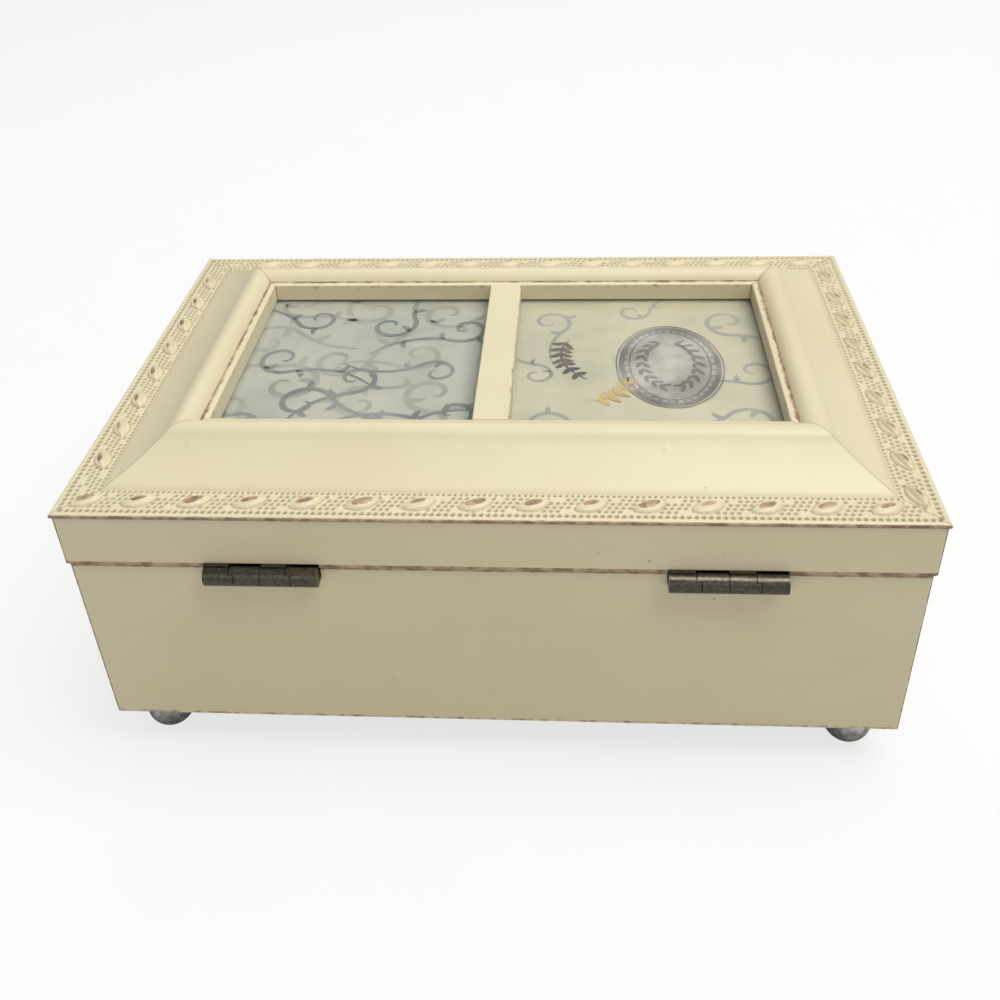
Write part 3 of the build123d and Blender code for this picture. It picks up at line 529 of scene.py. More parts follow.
def ornament(along, across, side):
    """Height in millimetres, rub and glaze of the pressed band. Both also carry painted shade on the
    leaves.
    """
    phase, reach, (worn, lean) = leaf_phase[side], leaf_reach[side], leaf_wear_and_shade[side]
    height = np.zeros_like(along)
    glaze_and_shade = np.zeros_like(along)

    for row, pitch, radius, depth in (
        (outer_row, outer_pitch, outer_radius, outer_depth),
        (inner_row, inner_pitch, inner_radius, inner_depth),
    ):
        da = along - pitch * np.round(along / pitch)
        share = hollow(np.hypot(da, across - row), radius)
        height -= depth * share**0.7
        glaze_and_shade = np.maximum(glaze_and_shade, share**0.5 * 0.95)

    number, p, q, half = leaf_space(along, across, phase, reach)
    inside = np.abs(q) < half
    slope = np.abs(q) / np.maximum(half, 0.05)
    dome = np.clip(1 - slope**2, 0, 1) ** 0.6 - 0.22 * np.exp(-(((slope - 0.62) / 0.12) ** 2))
    rise = 0.4 + 0.75 * np.clip(half / leaf_half_width, 0, 1)
    in_band = (across > 2.45) & (across < 8.2)
    leaf = np.where(inside & in_band, rise * dome, 0)
    edge = np.where(in_band, np.exp(-(((np.abs(q) - half - 0.18) / 0.22) ** 2)) * (half > 0.02), 0)

    for index, row in enumerate(cluster_rows):
        shift = phase + cluster_pitch * 0.5 * (index % 2)
        nearest = np.round((along - shift) / cluster_pitch) * cluster_pitch + shift
        _, _, cq, chalf = leaf_space(nearest, np.full_like(along, row), phase, reach)
        free = np.abs(cq) > chalf + 0.42
        share = np.where(free, hollow(np.hypot(along - nearest, across - row), cluster_radius), 0)
        height -= cluster_depth * share**0.7
        glaze_and_shade = np.maximum(glaze_and_shade, share**0.7 * 0.85)

    height = np.where(leaf > 0, leaf, height) - 0.12 * edge * (leaf <= 0)
    # Painted shade: on a leaf the glaze channel holds a soft dark patch over the leaf's inner half, as
    # strong as leaf_shade gives for the rail.
    smear = np.clip(1 - np.hypot(p / 3.4, (q - 0.35) / 1.1), 0, 1) ** 0.5
    glaze_and_shade = np.where(leaf > 0, leaf_shade[side] * smear, np.maximum(glaze_and_shade, 0.5 * edge))
    wobble = 0.5 + 0.5 * np.sin(number * 2.4 + 0.7)
    # The rubbed patch is wear; its lean outwards also puts brown where the leaf's shaded outer side is,
    # so it is partly painted shade.
    patch = worn - np.hypot(p / (1.8 + 0.7 * wobble), (q + lean) / (0.65 + 0.35 * wobble))
    rub = np.clip(0.62 + 1.2 * patch, 0, 1) * (leaf > 0)
    return height, rub, glaze_and_shade


# %% [markdown]
# ## Four mitred rails
# A rail is shortened by one millimetre at each end for every millimetre in from the rim, and that
# alone makes the mitre. The ends are closed, and a hair's breadth of bare joint is left between
# rails, as on the real frame.

# %% Rails
mitre_gap = 0.03
band_margin, band_play = 0.3, 0.01


def along_and_across(side, x, y):
    """Distance along a rail from its middle, and in from the rim, of a place on the plan."""
    if side == "back":
        return -x, half_depth - (y - middle_y)
    if side == "front":
        return x, half_depth + (y - middle_y)
    if side == "right":
        return y - middle_y, half_width - x
    return middle_y - y, half_width + x


def place_on_plan(side, along, across):
    """The reverse: the place on the plan of a point of a rail."""
    if side == "back":
        return -along, middle_y + half_depth - across
    if side == "front":
        return along, middle_y + across - half_depth
    if side == "right":
        return half_width - across, middle_y + along
    return across - half_width, middle_y - along


def make_rail(side):
    half_length = half_width if side in ("front", "back") else half_depth
    stations = round(2 * half_length / fine_step)
    bm = bmesh.new()
    bmesh.ops.create_grid(bm, x_segments=stations, y_segments=len(section) - 1, size=1.0)
    mesh = mesh_from(bm, f"moulding_{side}")
    grid = np.zeros(len(mesh.vertices) * 3)
    mesh.vertices.foreach_get("co", grid)
    grid = grid.reshape(-1, 3)
    row = np.round((grid[:, 1] + 1) / 2 * (len(section) - 1)).astype(int)
    across, height = section[row, 0], section[row, 1]
    along = grid[:, 0] * (half_length - across - mitre_gap)
    in_band = (across > bead_radius + band_margin) & (across < band_end + band_play)
    relief = ornament(along, across, side)[0]
    from_mitre = np.clip((half_length - across - np.abs(along)) / 0.7, 0, 1)
    height = height + np.where(in_band & (height >= -0.001), relief * from_mitre, 0)
    x, y = place_on_plan(side, along, across)
    placed = np.stack([x, y, rim_top + height], axis=1) * MM
    mesh.vertices.foreach_set("co", placed.ravel())
    bm = bmesh.new()
    bm.from_mesh(mesh)
    bmesh.ops.remove_doubles(bm, verts=bm.verts, dist=0.000004)
    ends = [e for e in bm.edges if e.is_boundary]
    bmesh.ops.holes_fill(bm, edges=ends, sides=0)
    bmesh.ops.recalc_face_normals(bm, faces=bm.faces)
    bm.to_mesh(mesh)
    bm.free()

    def marks_at(x, y, z):
        along, across = along_and_across(side, x, y)
        level = z - rim_top
        _, rub, glaze_and_shade = ornament(along, across, side)
        in_band = (across > bead_radius + band_margin) & (across < band_end + band_play)
        pressed = in_band & (level > -0.6)
        rub, glaze_and_shade = np.where(pressed, rub, 0), np.where(pressed, glaze_and_shade, 0)
        on_bead = np.clip((-0.12 - level) / 0.2, 0, 1) * (across < 0.75)
        rub = np.maximum(rub, 1.05 * on_bead)
        # Painted shadow: a brown line, carried in the rub channel, along the crease where the crest's
        # roll meets the lip.
        roll_foot_shadow = np.exp(-(((across - lip_start) / 0.14) ** 2)) * (level > lip_rise - 0.3)
        rub = np.maximum(rub, 0.78 * roll_foot_shadow)
        arris = np.exp(-(((across - lip_end) / 0.2) ** 2)) * (level > lip_rise - 0.5)
        rub = np.maximum(rub, 0.42 * arris)
        joint = np.exp(-(((half_length - across - np.abs(along)) / 0.22) ** 2))
        glaze_and_shade = np.maximum(glaze_and_shade, 0.45 * joint)
        # Darker along the crease at the foot of the cove.
        under = np.exp(-(((across - band_end) / 0.35) ** 2)) * (level < 0.6)
        glaze_and_shade = np.maximum(glaze_and_shade, 0.25 * under)
        return rub, glaze_and_shade

    paint_marks(mesh, marks_at)
    piece = add_object(f"moulding_{side}_pressed", mesh, cream_paint, 60.0)
    return stand_for(piece, f"moulding_{side}")


for side in ("front", "back", "left", "right"):
    rail = make_rail(side)
    print(rail.name, len(rail.data.polygons), "faces")

# %% [markdown]
# ## Case walls and lid sides
# These are mitred boards under one coat of paint, so their corners are rounded over and the mitres
# hardly show. Each board is first cut across near its ends and edges. The short strips at the ends
# are then turned round the corner by an eighth of a circle, and the board beside it does the other
# eighth. The long arrises are bevelled last. Marks are strongest on the arrises.

# %% Boards
outward_of = {"front": (0, -1), "back": (0, 1), "left": (-1, 0), "right": (1, 0)}
corner_round, arris_round = 0.9, 0.5
corner_cuts = (0.15, 0.3, 0.45, 0.6, 0.75, 0.9, 1.6)
height_cuts = (0.7, 1.1, 1.7)


def cut_near(bm, axis, places_mm):
    """Cuts a mesh across one axis at each place, so that marks and corners have vertices there."""
    for place in places_mm:
        point, normal = [0.0, 0.0, 0.0], [0.0, 0.0, 0.0]
        point[axis], normal[axis] = place * MM, 1.0
        geometry = list(bm.verts) + list(bm.edges) + list(bm.faces)
        bmesh.ops.bisect_plane(bm, geom=geometry, plane_co=point, plane_no=normal)


def round_corner(bm, run_axis, half_run, half_thick, middle, thick_sign):
    """Turns the end strips of the outer face round the two corners."""
    thick_axis = 1 - run_axis
    centre = (0.0, middle)
    for vertex in bm.verts:
        run = vertex.co[run_axis] / MM - centre[run_axis]
        thick = vertex.co[thick_axis] / MM - centre[thick_axis]
        from_end = half_run - abs(run)
        if from_end < corner_round and abs(thick - thick_sign * half_thick) < 0.01:
            angle = math.pi / 4 * (1 - from_end / corner_round)
            run = math.copysign(half_run - corner_round * (1 - math.sin(angle)), run)
            thick = thick_sign * (half_thick - corner_round * (1 - math.cos(angle)))
            vertex.co[run_axis] = (run + centre[run_axis]) * MM
            vertex.co[thick_axis] = (thick + centre[thick_axis]) * MM


def bevel_long_arrises(bm, outward):
    """Rounds the edges between the board's outer or inner face and its level edges."""
    direction = Vector((*outward, 0))
    chosen = []
    for edge in bm.edges:
        if len(edge.link_faces) != 2:
            continue
        level = [f for f in edge.link_faces if abs(f.normal.z) > 0.9]
        facing = [f for f in edge.link_faces if abs(f.normal.dot(direction)) > 0.6]
        upright = [f for f in facing if abs(f.normal.z) < 0.1]
        if level and upright and edge.calc_face_angle(0.0) > 1.0:
            chosen.append(edge)
    bmesh.ops.bevel(
        bm, geom=chosen, offset=arris_round * MM, segments=3, profile=0.5, affect="EDGES",
        material=-1, clamp_overlap=True,
    )


def make_board(kind, side, seam_rub, far_rub):
    """A case wall or lid side. The seam edge is rubbed more than the far one."""
    node = f"{kind}_{side}"
    low, high = (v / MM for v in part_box(node))
    whole_low, whole_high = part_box(f"{kind}_front")[0] / MM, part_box(f"{kind}_back")[1] / MM
    half_x = whole_high.x
    half_y, middle = (whole_high.y - whole_low.y) / 2, (whole_high.y + whole_low.y) / 2
    run_axis = 0 if side in ("front", "back") else 1
    half_run, half_thick = (half_x, half_y) if run_axis == 0 else (half_y, half_x)
    run_middle = 0.0 if run_axis == 0 else middle
    bm = welded_copy(node)
    cuts = [run_middle + sign * (half_run - cut) for cut in corner_cuts for sign in (-1, 1)]
    cut_near(bm, run_axis, cuts)
    round_corner(bm, run_axis, half_run, half_thick, middle, sum(outward_of[side]))
    bm.normal_update()
    bevel_long_arrises(bm, outward_of[side])
    cut_near(bm, 2, [low.z + cut for cut in height_cuts] + [high.z - cut for cut in height_cuts])
    low_rub, high_rub = (far_rub, seam_rub) if kind == "case" else (seam_rub, far_rub)

    def marks_at(x, y, z):
        from_x, from_y = half_x - np.abs(x), half_y - np.abs(y - middle)
        outer = np.minimum(from_x, from_y) < 0.62
        near_low = np.clip((1.0 - (z - low.z)) / 0.3, 0, 1) * low_rub
        near_high = np.clip((1.0 - (high.z - z)) / 0.3, 0, 1) * high_rub
        near_corner = np.exp(-((np.maximum(from_x, from_y) / 0.75) ** 2)) * 0.62
        rub = np.maximum(np.maximum(near_low, near_high), near_corner) * outer
        # Faces other than the outer ones come out a little darker.
        return rub, np.where(outer, 0.0, 0.12)

    mesh = mesh_from(bm, node)
    paint_marks(mesh, marks_at)
    return stand_for(add_object(f"{node}_board", mesh, cream_paint, 40.0), node)


for side in ("front", "back", "left", "right"):
    make_board("case", side, 0.86, 0.5)
    make_board("lid", side, 0.88, 0.25)
print("boards made: 8")

# %% [markdown]
# ## Mullion
# The bar between the two windows is level with the lip. Its long arrises are rubbed brown.

# %% Mullion
mullion_low, mullion_high = (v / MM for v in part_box("mullion"))


def make_mullion():
    bm = welded_copy("mullion")
    cut_near(bm, 2, [mullion_high.z - 0.6, mullion_high.z - 1.2])
    cut_near(bm, 0, [mullion_low.x + 0.8, mullion_high.x - 0.8])

    def marks_at(x, y, z):
        side_gap = np.minimum(np.abs(x - mullion_low.x), np.abs(x - mullion_high.x))
        to_arris = np.hypot(side_gap, z - mullion_high.z)
        stronger = np.where(x < (mullion_low.x + mullion_high.x) / 2, 0.56, 0.5)
        return np.clip(stronger - 0.5 * to_arris, 0, 1), np.clip(0.2 - z + mullion_low.z, 0, 1)

    mesh = mesh_from(bm, "mullion")
    paint_marks(mesh, marks_at)
    return stand_for(add_object("mullion_bar", mesh, cream_paint, 30.0), "mullion")


make_mullion()
print("mullion width", round(mullion_high.x - mullion_low.x, 2), "mm")

# %% [markdown]
# ## Glass
# A sheet of clear glass lies over the cards. Rendered as plain glass it would throw a dark shadow
# on them, so for shadow rays it is simply clear.

# %% Glass


def make_clear(name, tint, rough, ior):
    clear = Recipe(name, rough)
    clear.colour(tint)
    clear.shader.inputs["Transmission Weight"].default_value = 1.0
    clear.shader.inputs["IOR"].default_value = ior
    smear = clear.noise(25.0, 3.0)
    clear.rough(clear.math("MULTIPLY_ADD", smear, 0.03, rough))
    path = clear.node("ShaderNodeLightPath")
    through = clear.node("ShaderNodeBsdfTransparent")
    blend = clear.node("ShaderNodeMixShader")
    clear.link(path.outputs["Is Shadow Ray"], blend.inputs[0])
    clear.link(clear.shader.outputs[0], blend.inputs[1])
    clear.link(through.outputs[0], blend.inputs[2])
    clear.link(blend.outputs[0], clear.tree.nodes["Material Output"].inputs["Surface"])
    return clear.material


window_glass = make_clear("window_glass", (0.96, 0.98, 0.97), 0.02, 1.48)
cover_plastic = make_clear("cover_plastic", (0.97, 0.98, 0.99), 0.04, 1.46)


def make_window():
    """The sheet stands a hair clear of the cards, as glass on paper does."""
    bm = welded_copy("glass")
    lowest = min(v.co.z for v in bm.verts)
    for vertex in bm.verts:
        if vertex.co.z < lowest + 0.1 * MM:
            vertex.co.z += 0.2 * MM
    return stand_for(add_object("glass_sheet", mesh_from(bm, "glass"), window_glass), "glass")


make_window()
dressed("movement_cover", cover_plastic, 0.0003)

# %% [markdown]
# ## Metals, woods, velvet and plastic
# Each finish is a short recipe: its colour varied by noise, its own grain in the roughness and a
# little bump. Brushed metal has noise stretched along one axis, velvet has a fine pile and sheen.

# %% Finishes


def make_metal(name, light, dark, rough, scale=180.0, grain=(1, 1, 1), wear=0.5):
    metal = Recipe(name, rough, metal=1.0)
    grime = metal.between(metal.noise(scale, 5.0), 0.5 - wear * 0.25, 0.5 + wear * 0.25)
    metal.colour(metal.mix(grime, light, dark))
    lines = metal.noise(1.0, 3.0, vector=metal.stretched(tuple(900.0 * g for g in grain)))
    metal.rough(metal.math("MULTIPLY_ADD", lines, 0.22, rough - 0.08))
    metal.bump(lines, 0.12, 0.00003)
    metal.bump(metal.noise(scale * 1.7, 4.0), 0.2, 0.00005)
    return metal.material


def make_board_finish():
    board = Recipe("fibreboard", 0.85, specular=0.2)
    fibres = board.noise(1.0, 5.0, vector=board.stretched((900.0, 350.0, 900.0)))
    board.colour(board.mix(fibres, (0.30, 0.19, 0.105), (0.44, 0.30, 0.18)))
    board.bump(fibres, 0.4, 0.00012)
    return board.material


def make_velvet(name, light, dark):
    velvet = Recipe(name, 0.95, specular=0.1)
    nap = velvet.noise(55.0, 3.0)
    pile = velvet.noise(2600.0, 2.0)
    both = velvet.math("MULTIPLY_ADD", pile, 0.5, velvet.math("MULTIPLY", nap, 0.5))
    velvet.colour(velvet.mix(both, dark, light))
    velvet.shader.inputs["Sheen Weight"].default_value = 0.6
    velvet.shader.inputs["Sheen Roughness"].default_value = 0.35
    velvet.bump(pile, 0.6, 0.00025)
    velvet.bump(nap, 0.25, 0.0004)
    return velvet.material


def make_plastic(name, light, dark, rough):
    plastic = Recipe(name, rough)
    plastic.colour(plastic.mix(plastic.noise(90.0), light, dark))
    plastic.bump(plastic.noise(1400.0, 2.0), 0.15, 0.00004)
    return plastic.material


along_x, across_x = (0.1, 1, 1), (1, 0.1, 0.1)
bronze_light, bronze_dark = (0.145, 0.127, 0.10), (0.09, 0.078, 0.062)
hinge_bronze = make_metal("hinge_bronze", bronze_light, bronze_dark, 0.28, 1300.0, along_x)
silver_light, silver_dark = (0.66, 0.655, 0.64), (0.20, 0.195, 0.19)
foot_silver = make_metal("foot_silver", silver_light, silver_dark, 0.26, 420.0, wear=0.9)
cast_zinc = make_metal("cast_zinc", (0.55, 0.55, 0.54), (0.40, 0.40, 0.39), 0.5, 320.0)
brass_light, brass_dark = (0.80, 0.58, 0.25), (0.62, 0.42, 0.16)
turned_brass = make_metal("turned_brass", brass_light, brass_dark, 0.28, 140.0, across_x)
steel_light, steel_dark = (0.62, 0.62, 0.63), (0.45, 0.45, 0.46)
ground_steel = make_metal("ground_steel", steel_light, steel_dark, 0.27, 140.0, along_x)
blued_steel = make_metal("blued_steel", (0.13, 0.16, 0.26), (0.06, 0.07, 0.11), 0.3)
fibreboard = make_board_finish()
cream_velvet = make_velvet("cream_velvet", (0.72, 0.62, 0.44), (0.50, 0.42, 0.29))
red_felt = make_velvet("red_felt", (0.36, 0.09, 0.07), (0.22, 0.05, 0.04))
fan_plastic = make_plastic("fan_plastic", (0.80, 0.78, 0.70), (0.72, 0.70, 0.62), 0.45)

# %% [markdown]
# ## Hinges, feet and the movement
# These are the frame's own shapes with softened edges and their finishes. The spring, the worm and
# the pinned cylinder are too fine to bevel, so they keep their shape and only get a finish.

# %% Dress the small pieces
finish_of = {
    "hinge_left_lid_leaf": hinge_bronze, "hinge_left_case_leaf": hinge_bronze,
    "hinge_left_pin": hinge_bronze, "hinge_right_lid_leaf": hinge_bronze,
    "hinge_right_case_leaf": hinge_bronze, "hinge_right_pin": hinge_bronze,
    "hinge_screws_case": hinge_bronze, "hinge_screws_lid": hinge_bronze,
    "foot_front_left": foot_silver, "foot_front_right": foot_silver,
    "foot_back_left": foot_silver, "foot_back_right": foot_silver,
    "bottom_panel": fibreboard, "corner_blocks": fibreboard, "divider": cream_paint,
    "cleat_front": fibreboard, "cleat_back": fibreboard, "backing_board": fibreboard,
    "lining_floor": cream_velvet, "lining_front": cream_velvet, "lining_back": cream_velvet,
    "lining_left": cream_velvet, "lining_divider": cream_velvet, "lid_lining": cream_velvet,
    "bedplate": cast_zinc, "movement_screws": ground_steel, "winding_key": ground_steel,
    "winding_arbor": ground_steel, "arbor_clutch": turned_brass, "spring_barrel": turned_brass,
    "music_cylinder": turned_brass, "cylinder_axle": ground_steel, "cylinder_pinion": turned_brass,
    "cylinder_gear": turned_brass, "comb": ground_steel, "comb_screws": ground_steel,
    "second_wheel": turned_brass, "governor_worm": ground_steel, "governor_fan": fan_plastic,
    "governor_frame": turned_brass, "stop_rod": ground_steel, "stop_pad": red_felt,
    "mainspring": blued_steel,
}
usual_bevel, fine_bevel = 0.2 * MM, 0.05 * MM
bevel_of = {
    "divider": 0.8 * MM, "lining_floor": 0.3 * MM, "winding_key": 0.4 * MM, "bedplate": 0.4 * MM,
    "comb": fine_bevel, "cylinder_gear": fine_bevel, "cylinder_pinion": fine_bevel,
    "second_wheel": fine_bevel,
}
carried_nodes = {"mainspring", "governor_worm", "music_cylinder"}
for node, finish in finish_of.items():
    if node in carried_nodes:
        carried = frame["nodes"][node]
        carried.data.materials.clear()
        carried.data.materials.append(finish)
        continue
    dressed(node, finish, bevel_of.get(node, usual_bevel))
print("finished", len(finish_of), "small pieces")

# %% [markdown]
# ## Picture cards
# Two printed cards lie under the glass. The ground of the print is a soft mottle, pale sage on one
# card and warm cream on the other. Scrolls and leaves are printed over it: each is a very thin
# ribbon of ink, a narrow grid bent along a spiral.

# %% Card grounds
paper_fibre = (0.40, 0.42, 0.36)


def make_print(name, pale, deep, warm):
    ink = Recipe(name, 0.6, specular=0.3)
    wash = ink.noise(28.0, 5.0, 0.65)
    fine = ink.noise(330.0, 3.0)
    tone = ink.mix(ink.between(wash, 0.35, 0.68), pale, deep)
    tone = ink.mix(ink.math("MULTIPLY", ink.between(ink.noise(17.0, 2.0), 0.45, 0.75), 0.6), tone, warm)
    ink.colour(ink.mix(ink.math("MULTIPLY", fine, 0.16), tone, paper_fibre))
    ink.bump(fine, 0.05, 0.00003)
    return ink.material


def make_ink(name, light, dark):
    ink = Recipe(name, 0.6, specular=0.3)
    ink.colour(ink.mix(ink.between(ink.noise(60.0, 4.0), 0.35, 0.65), light, dark))
    return ink.material


sage_card = make_print("sage_card", (0.37, 0.355, 0.30), (0.275, 0.29, 0.245), (0.41, 0.365, 0.28))
cream_card = make_print("cream_card", (0.45, 0.40, 0.285), (0.35, 0.33, 0.24), (0.49, 0.41, 0.275))
sage_ink = make_ink("sage_ink", (0.20, 0.205, 0.185), (0.12, 0.13, 0.125))
faint_ink = make_ink("faint_ink", (0.29, 0.285, 0.235), (0.22, 0.225, 0.19))
pewter_ink = make_ink("pewter_ink", (0.24, 0.22, 0.20), (0.11, 0.10, 0.09))
pewter_light = make_ink("pewter_light", (0.40, 0.375, 0.33), (0.22, 0.205, 0.185))
bronze_ink = make_ink("bronze_ink", (0.13, 0.10, 0.08), (0.07, 0.055, 0.05))
gold_ink = make_ink("gold_ink", (0.42, 0.31, 0.13), (0.30, 0.21, 0.09))
dressed("picture_card_right", sage_card, fine_bevel, 1)
dressed("picture_card_left", cream_card, fine_bevel, 1)

# %% [markdown]
# ## Printed scrolls
# A scroll is a spiral that opens into a stem. A leaf is the same ribbon, short and wide in its
# middle. Every stroke lies a hair above the one before, up to a limit, like layers of ink. A row of
# a layout is x, y, the heading of the spiral's eye in degrees, its size, its sense of turning, the
# stem's length and the ribbon's width.

# %% Scrolls
ground_level, print_level, top_level = 0.01, 0.07, 0.13
stroke_step, stroke_limit = 0.0012, 0.05
card_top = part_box("picture_card_left")[1].z / MM


def add_ribbon(bm, points, widths, level):
    """A narrow grid bent along points, with a width at each, in millimetres."""
    level += min(stroke_step * len(bm.faces) / 12, stroke_limit)
    made = bmesh.ops.create_grid(bm, x_segments=len(points) - 1, y_segments=1, size=1.0)["verts"]
    for vertex in made:
        index = round((vertex.co.x + 1) / 2 * (len(points) - 1))
        before, after = points[max(index - 1, 0)], points[min(index + 1, len(points) - 1)]
        tangent = (Vector(after) - Vector(before)).normalized()
        side = vertex.co.y * widths[index] / 2
        x = points[index][0] - tangent.y * side
        y = points[index][1] + tangent.x * side
        vertex.co = Vector((x, y, card_top + level)) * MM


def scroll_points(x, y, heading, size, turn, stem, count=44):
    """A spiral from its eye outwards, then a stem that bends the other way."""
    points = []
    for k in range(count):
        share = k / (count - 1)
        angle = heading + turn * (2.2 * math.pi * (1 - share))
        radius = size * (0.12 + 0.88 * share)
        points.append((x + radius * math.cos(angle), y + radius * math.sin(angle)))
    direction = Vector(points[-1]) - Vector(points[-2])
    bend = turn * 0.055
    place = Vector(points[-1])
    for k in range(round(stem / direction.length)):
        direction = Matrix.Rotation(bend, 2) @ direction.to_2d()
        place = place + direction
        points.append((place.x, place.y))
    return points


def taper(count, wide, ends):
    """Widths that swell from the ends, given as a share, to the middle."""
    swell = [math.sin(math.pi * k / (count - 1)) ** 0.7 for k in range(count)]
    return [wide * (ends + (1 - ends) * s) for s in swell]


def add_leaf(bm, x, y, heading, length, width, level, bend):
    """A short bent ribbon from a place on the stem."""
    points = []
    for k in range(9):
        share = k / 8
        angle = heading + bend * (share - 0.5)
        points.append((x + length * share * math.cos(angle), y + length * share * math.sin(angle)))
    add_ribbon(bm, points, taper(9, width, 0.02), level)


def keep_inside(bm, low_x, high_x, low_y, high_y):
    """Trims the print at the edges of its card."""
    for axis, place, sign in ((0, low_x, -1), (0, high_x, 1), (1, low_y, -1), (1, high_y, 1)):
        point, normal = [0.0, 0.0, 0.0], [0.0, 0.0, 0.0]
        point[axis], normal[axis] = place * MM, float(sign)
        geometry = list(bm.verts) + list(bm.edges) + list(bm.faces)
        bmesh.ops.bisect_plane(bm, geom=geometry, plane_co=point, plane_no=normal, clear_outer=True)


def finish_print(bm, name, node, ink):
    """Trims a print, turns all its faces up and lets it ride with its card."""
    low, high = (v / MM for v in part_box(node))
    keep_inside(bm, low.x + 0.2, high.x - 0.2, low.y + 0.2, high.y - 0.2)
    bmesh.ops.triangulate(bm, faces=bm.faces)
    bmesh.ops.dissolve_degenerate(bm, edges=bm.edges, dist=0.000002)
    bm.normal_update()
    bmesh.ops.reverse_faces(bm, faces=[f for f in bm.faces if f.normal.z < 0])
    piece = add_object(name, mesh_from(bm, name), ink, 0.0)
    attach(piece, body_of_node[node])
    return piece


def print_scrolls(name, node, ink, layout, level):
    bm = bmesh.new()
    for x, y, heading, size, turn, stem, width in layout:
        points = scroll_points(x, y, math.radians(heading), size, turn, stem)
        add_ribbon(bm, points, taper(len(points), width, 0.2), level)
        for share, flip in ((0.55, 1), (0.7, -1), (0.85, 1)):
            k = int(share * (len(points) - 2))
            along = Vector(points[k + 1]) - Vector(points[k])
            lean = math.atan2(along.y, along.x) + flip * 0.9
            add_leaf(bm, *points[k], lean, size * 0.55, size * 0.24, level, 0.8 * flip)
    return finish_print(bm, name, node, ink)


sage_layout = [
    (12.0, 22.0, 40, 7.5, 1, 30, 1.6),
    (31.0, 27.0, 160, 6.5, -1, 26, 1.4),
    (52.0, 18.0, 200, 8.0, 1, 30, 1.7),
    (66.0, 28.0, 300, 5.5, -1, 20, 1.2),
    (18.0, 3.0, 320, 6.0, -1, 24, 1.3),
    (40.0, 6.0, 90, 7.0, 1, 28, 1.5),
    (62.0, -4.0, 120, 7.5, -1, 26, 1.5),
    (12.0, -20.0, 60, 7.0, 1, 26, 1.5),
    (34.0, -22.0, 210, 7.5, -1, 30, 1.6),
    (56.0, -26.0, 20, 6.5, 1, 24, 1.4),
]
cream_layout = [
    (-12.0, 27.0, 200, 6.0, 1, 22, 1.3),
    (-64.0, 26.0, 330, 7.0, -1, 24, 1.4),
    (-67.0, 2.0, 60, 6.5, 1, 22, 1.3),
    (-63.0, -24.0, 100, 7.5, -1, 26, 1.5),
    (-12.0, -24.0, 130, 6.5, 1, 22, 1.3),
    (-36.0, -30.0, 180, 5.0, -1, 20, 1.1),
    (-9.0, 4.0, 270, 5.0, -1, 18, 1.1),
]
faint_layout = [
    (x + 6.0, y - 9.0, heading + 90, size * 1.25, -turn, stem * 0.8, width * 1.3)
    for x, y, heading, size, turn, stem, width in sage_layout
]
print_scrolls("scrolls_sage", "picture_card_right", sage_ink, sage_layout, print_level)
print_scrolls("scrolls_faint", "picture_card_right", faint_ink, faint_layout, ground_level)
print_scrolls("scrolls_cream", "picture_card_left", faint_ink, cream_layout, ground_level)

# %% [markdown]
# ## A plain leaf medallion
# The second card has one larger motif: a pewter-toned oval medallion, ringed and beaded, with a
# simple wreath of leaves. A dark sprig and a golden one lie beside it.

# %% Medallion
medallion_x, medallion_y = -45.0, -1.0
oval_x, oval_y = 13.0, 19.0
bead_count = 36
wreath_x, wreath_y, wreath_leaves = 7.4, 11.5, 9


def oval_points(grow, count=73):
    """A closed oval, wider or narrower than the medallion by grow."""
    steps = [2 * math.pi * k / (count - 1) for k in range(count)]
    reach_x, reach_y = oval_x + grow, oval_y + grow
    return [(medallion_x + reach_x * math.cos(a), medallion_y + reach_y * math.sin(a)) for a in steps]


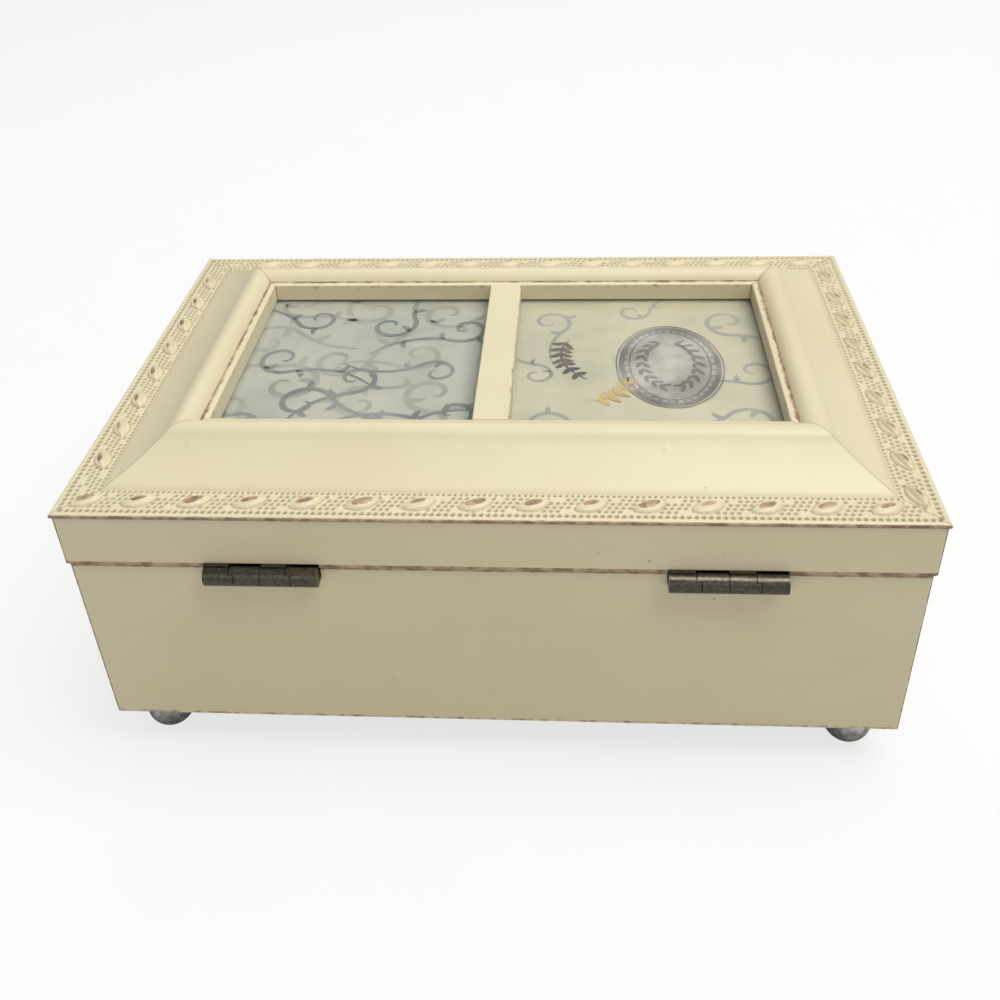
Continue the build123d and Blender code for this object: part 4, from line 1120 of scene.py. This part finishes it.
def print_medallion():
    body = bmesh.new()
    made = bmesh.ops.create_circle(body, cap_ends=True, segments=72, radius=1.0)["verts"]
    for vertex in made:
        x, y = medallion_x + oval_x * vertex.co.x, medallion_y + oval_y * vertex.co.y
        vertex.co = Vector((x, y, card_top + print_level)) * MM
    finish_print(body, "medallion_field", "picture_card_left", pewter_light)

    rings = bmesh.new()
    for grow, width in ((0.0, 1.5), (-2.1, 0.5), (1.4, 0.4)):
        oval = oval_points(grow)
        add_ribbon(rings, oval, [width] * len(oval), top_level)
    for k in range(bead_count):
        a = 2 * math.pi * k / bead_count
        x, y = medallion_x + (oval_x - 1.2) * math.cos(a), medallion_y + (oval_y - 1.2) * math.sin(a)
        add_leaf(rings, x, y, a + math.pi / 2, 1.0, 0.8, top_level, 0.2)
    for side in (-1, 1):
        for k in range(wreath_leaves):
            a = -math.pi / 2 + side * (0.25 + k * 0.3)
            x, y = medallion_x + wreath_x * math.cos(a), medallion_y + wreath_y * math.sin(a)
            for lean in (0.55, -0.55):
                add_leaf(rings, x, y, a + side * (math.pi / 2 + lean), 3.4, 1.3, top_level, 0.3)
    finish_print(rings, "medallion_wreath", "picture_card_left", pewter_ink)


def print_sprig(name, ink, x, y, heading, length, leaves):
    """A bent stem with pairs of leaves that get shorter towards its tip."""
    bm = bmesh.new()
    steps = 24
    points = []
    for k in range(steps):
        share = k / (steps - 1)
        angle = math.radians(heading) + 0.9 * (share - 0.5)
        points.append((x + length * share * math.cos(angle), y + length * share * math.sin(angle)))
    add_ribbon(bm, points, taper(steps, 0.7, 0.3), top_level)
    for k in range(leaves):
        index = 2 + round(k * (steps - 4) / leaves)
        along = Vector(points[index + 1]) - Vector(points[index])
        lean = math.atan2(along.y, along.x)
        for flip in (-1, 1):
            add_leaf(bm, *points[index], lean + flip * 0.75, 4.2 - 0.16 * k, 1.6, top_level, 0.5 * flip)
    finish_print(bm, name, "picture_card_left", ink)


print_medallion()
print_sprig("sprig_dark", bronze_ink, -18.0, -14.0, 78.0, 21.0, 7)
print_sprig("sprig_gold", gold_ink, -24.0, 16.0, 205.0, 15.0, 5)
print("prints made on both cards")
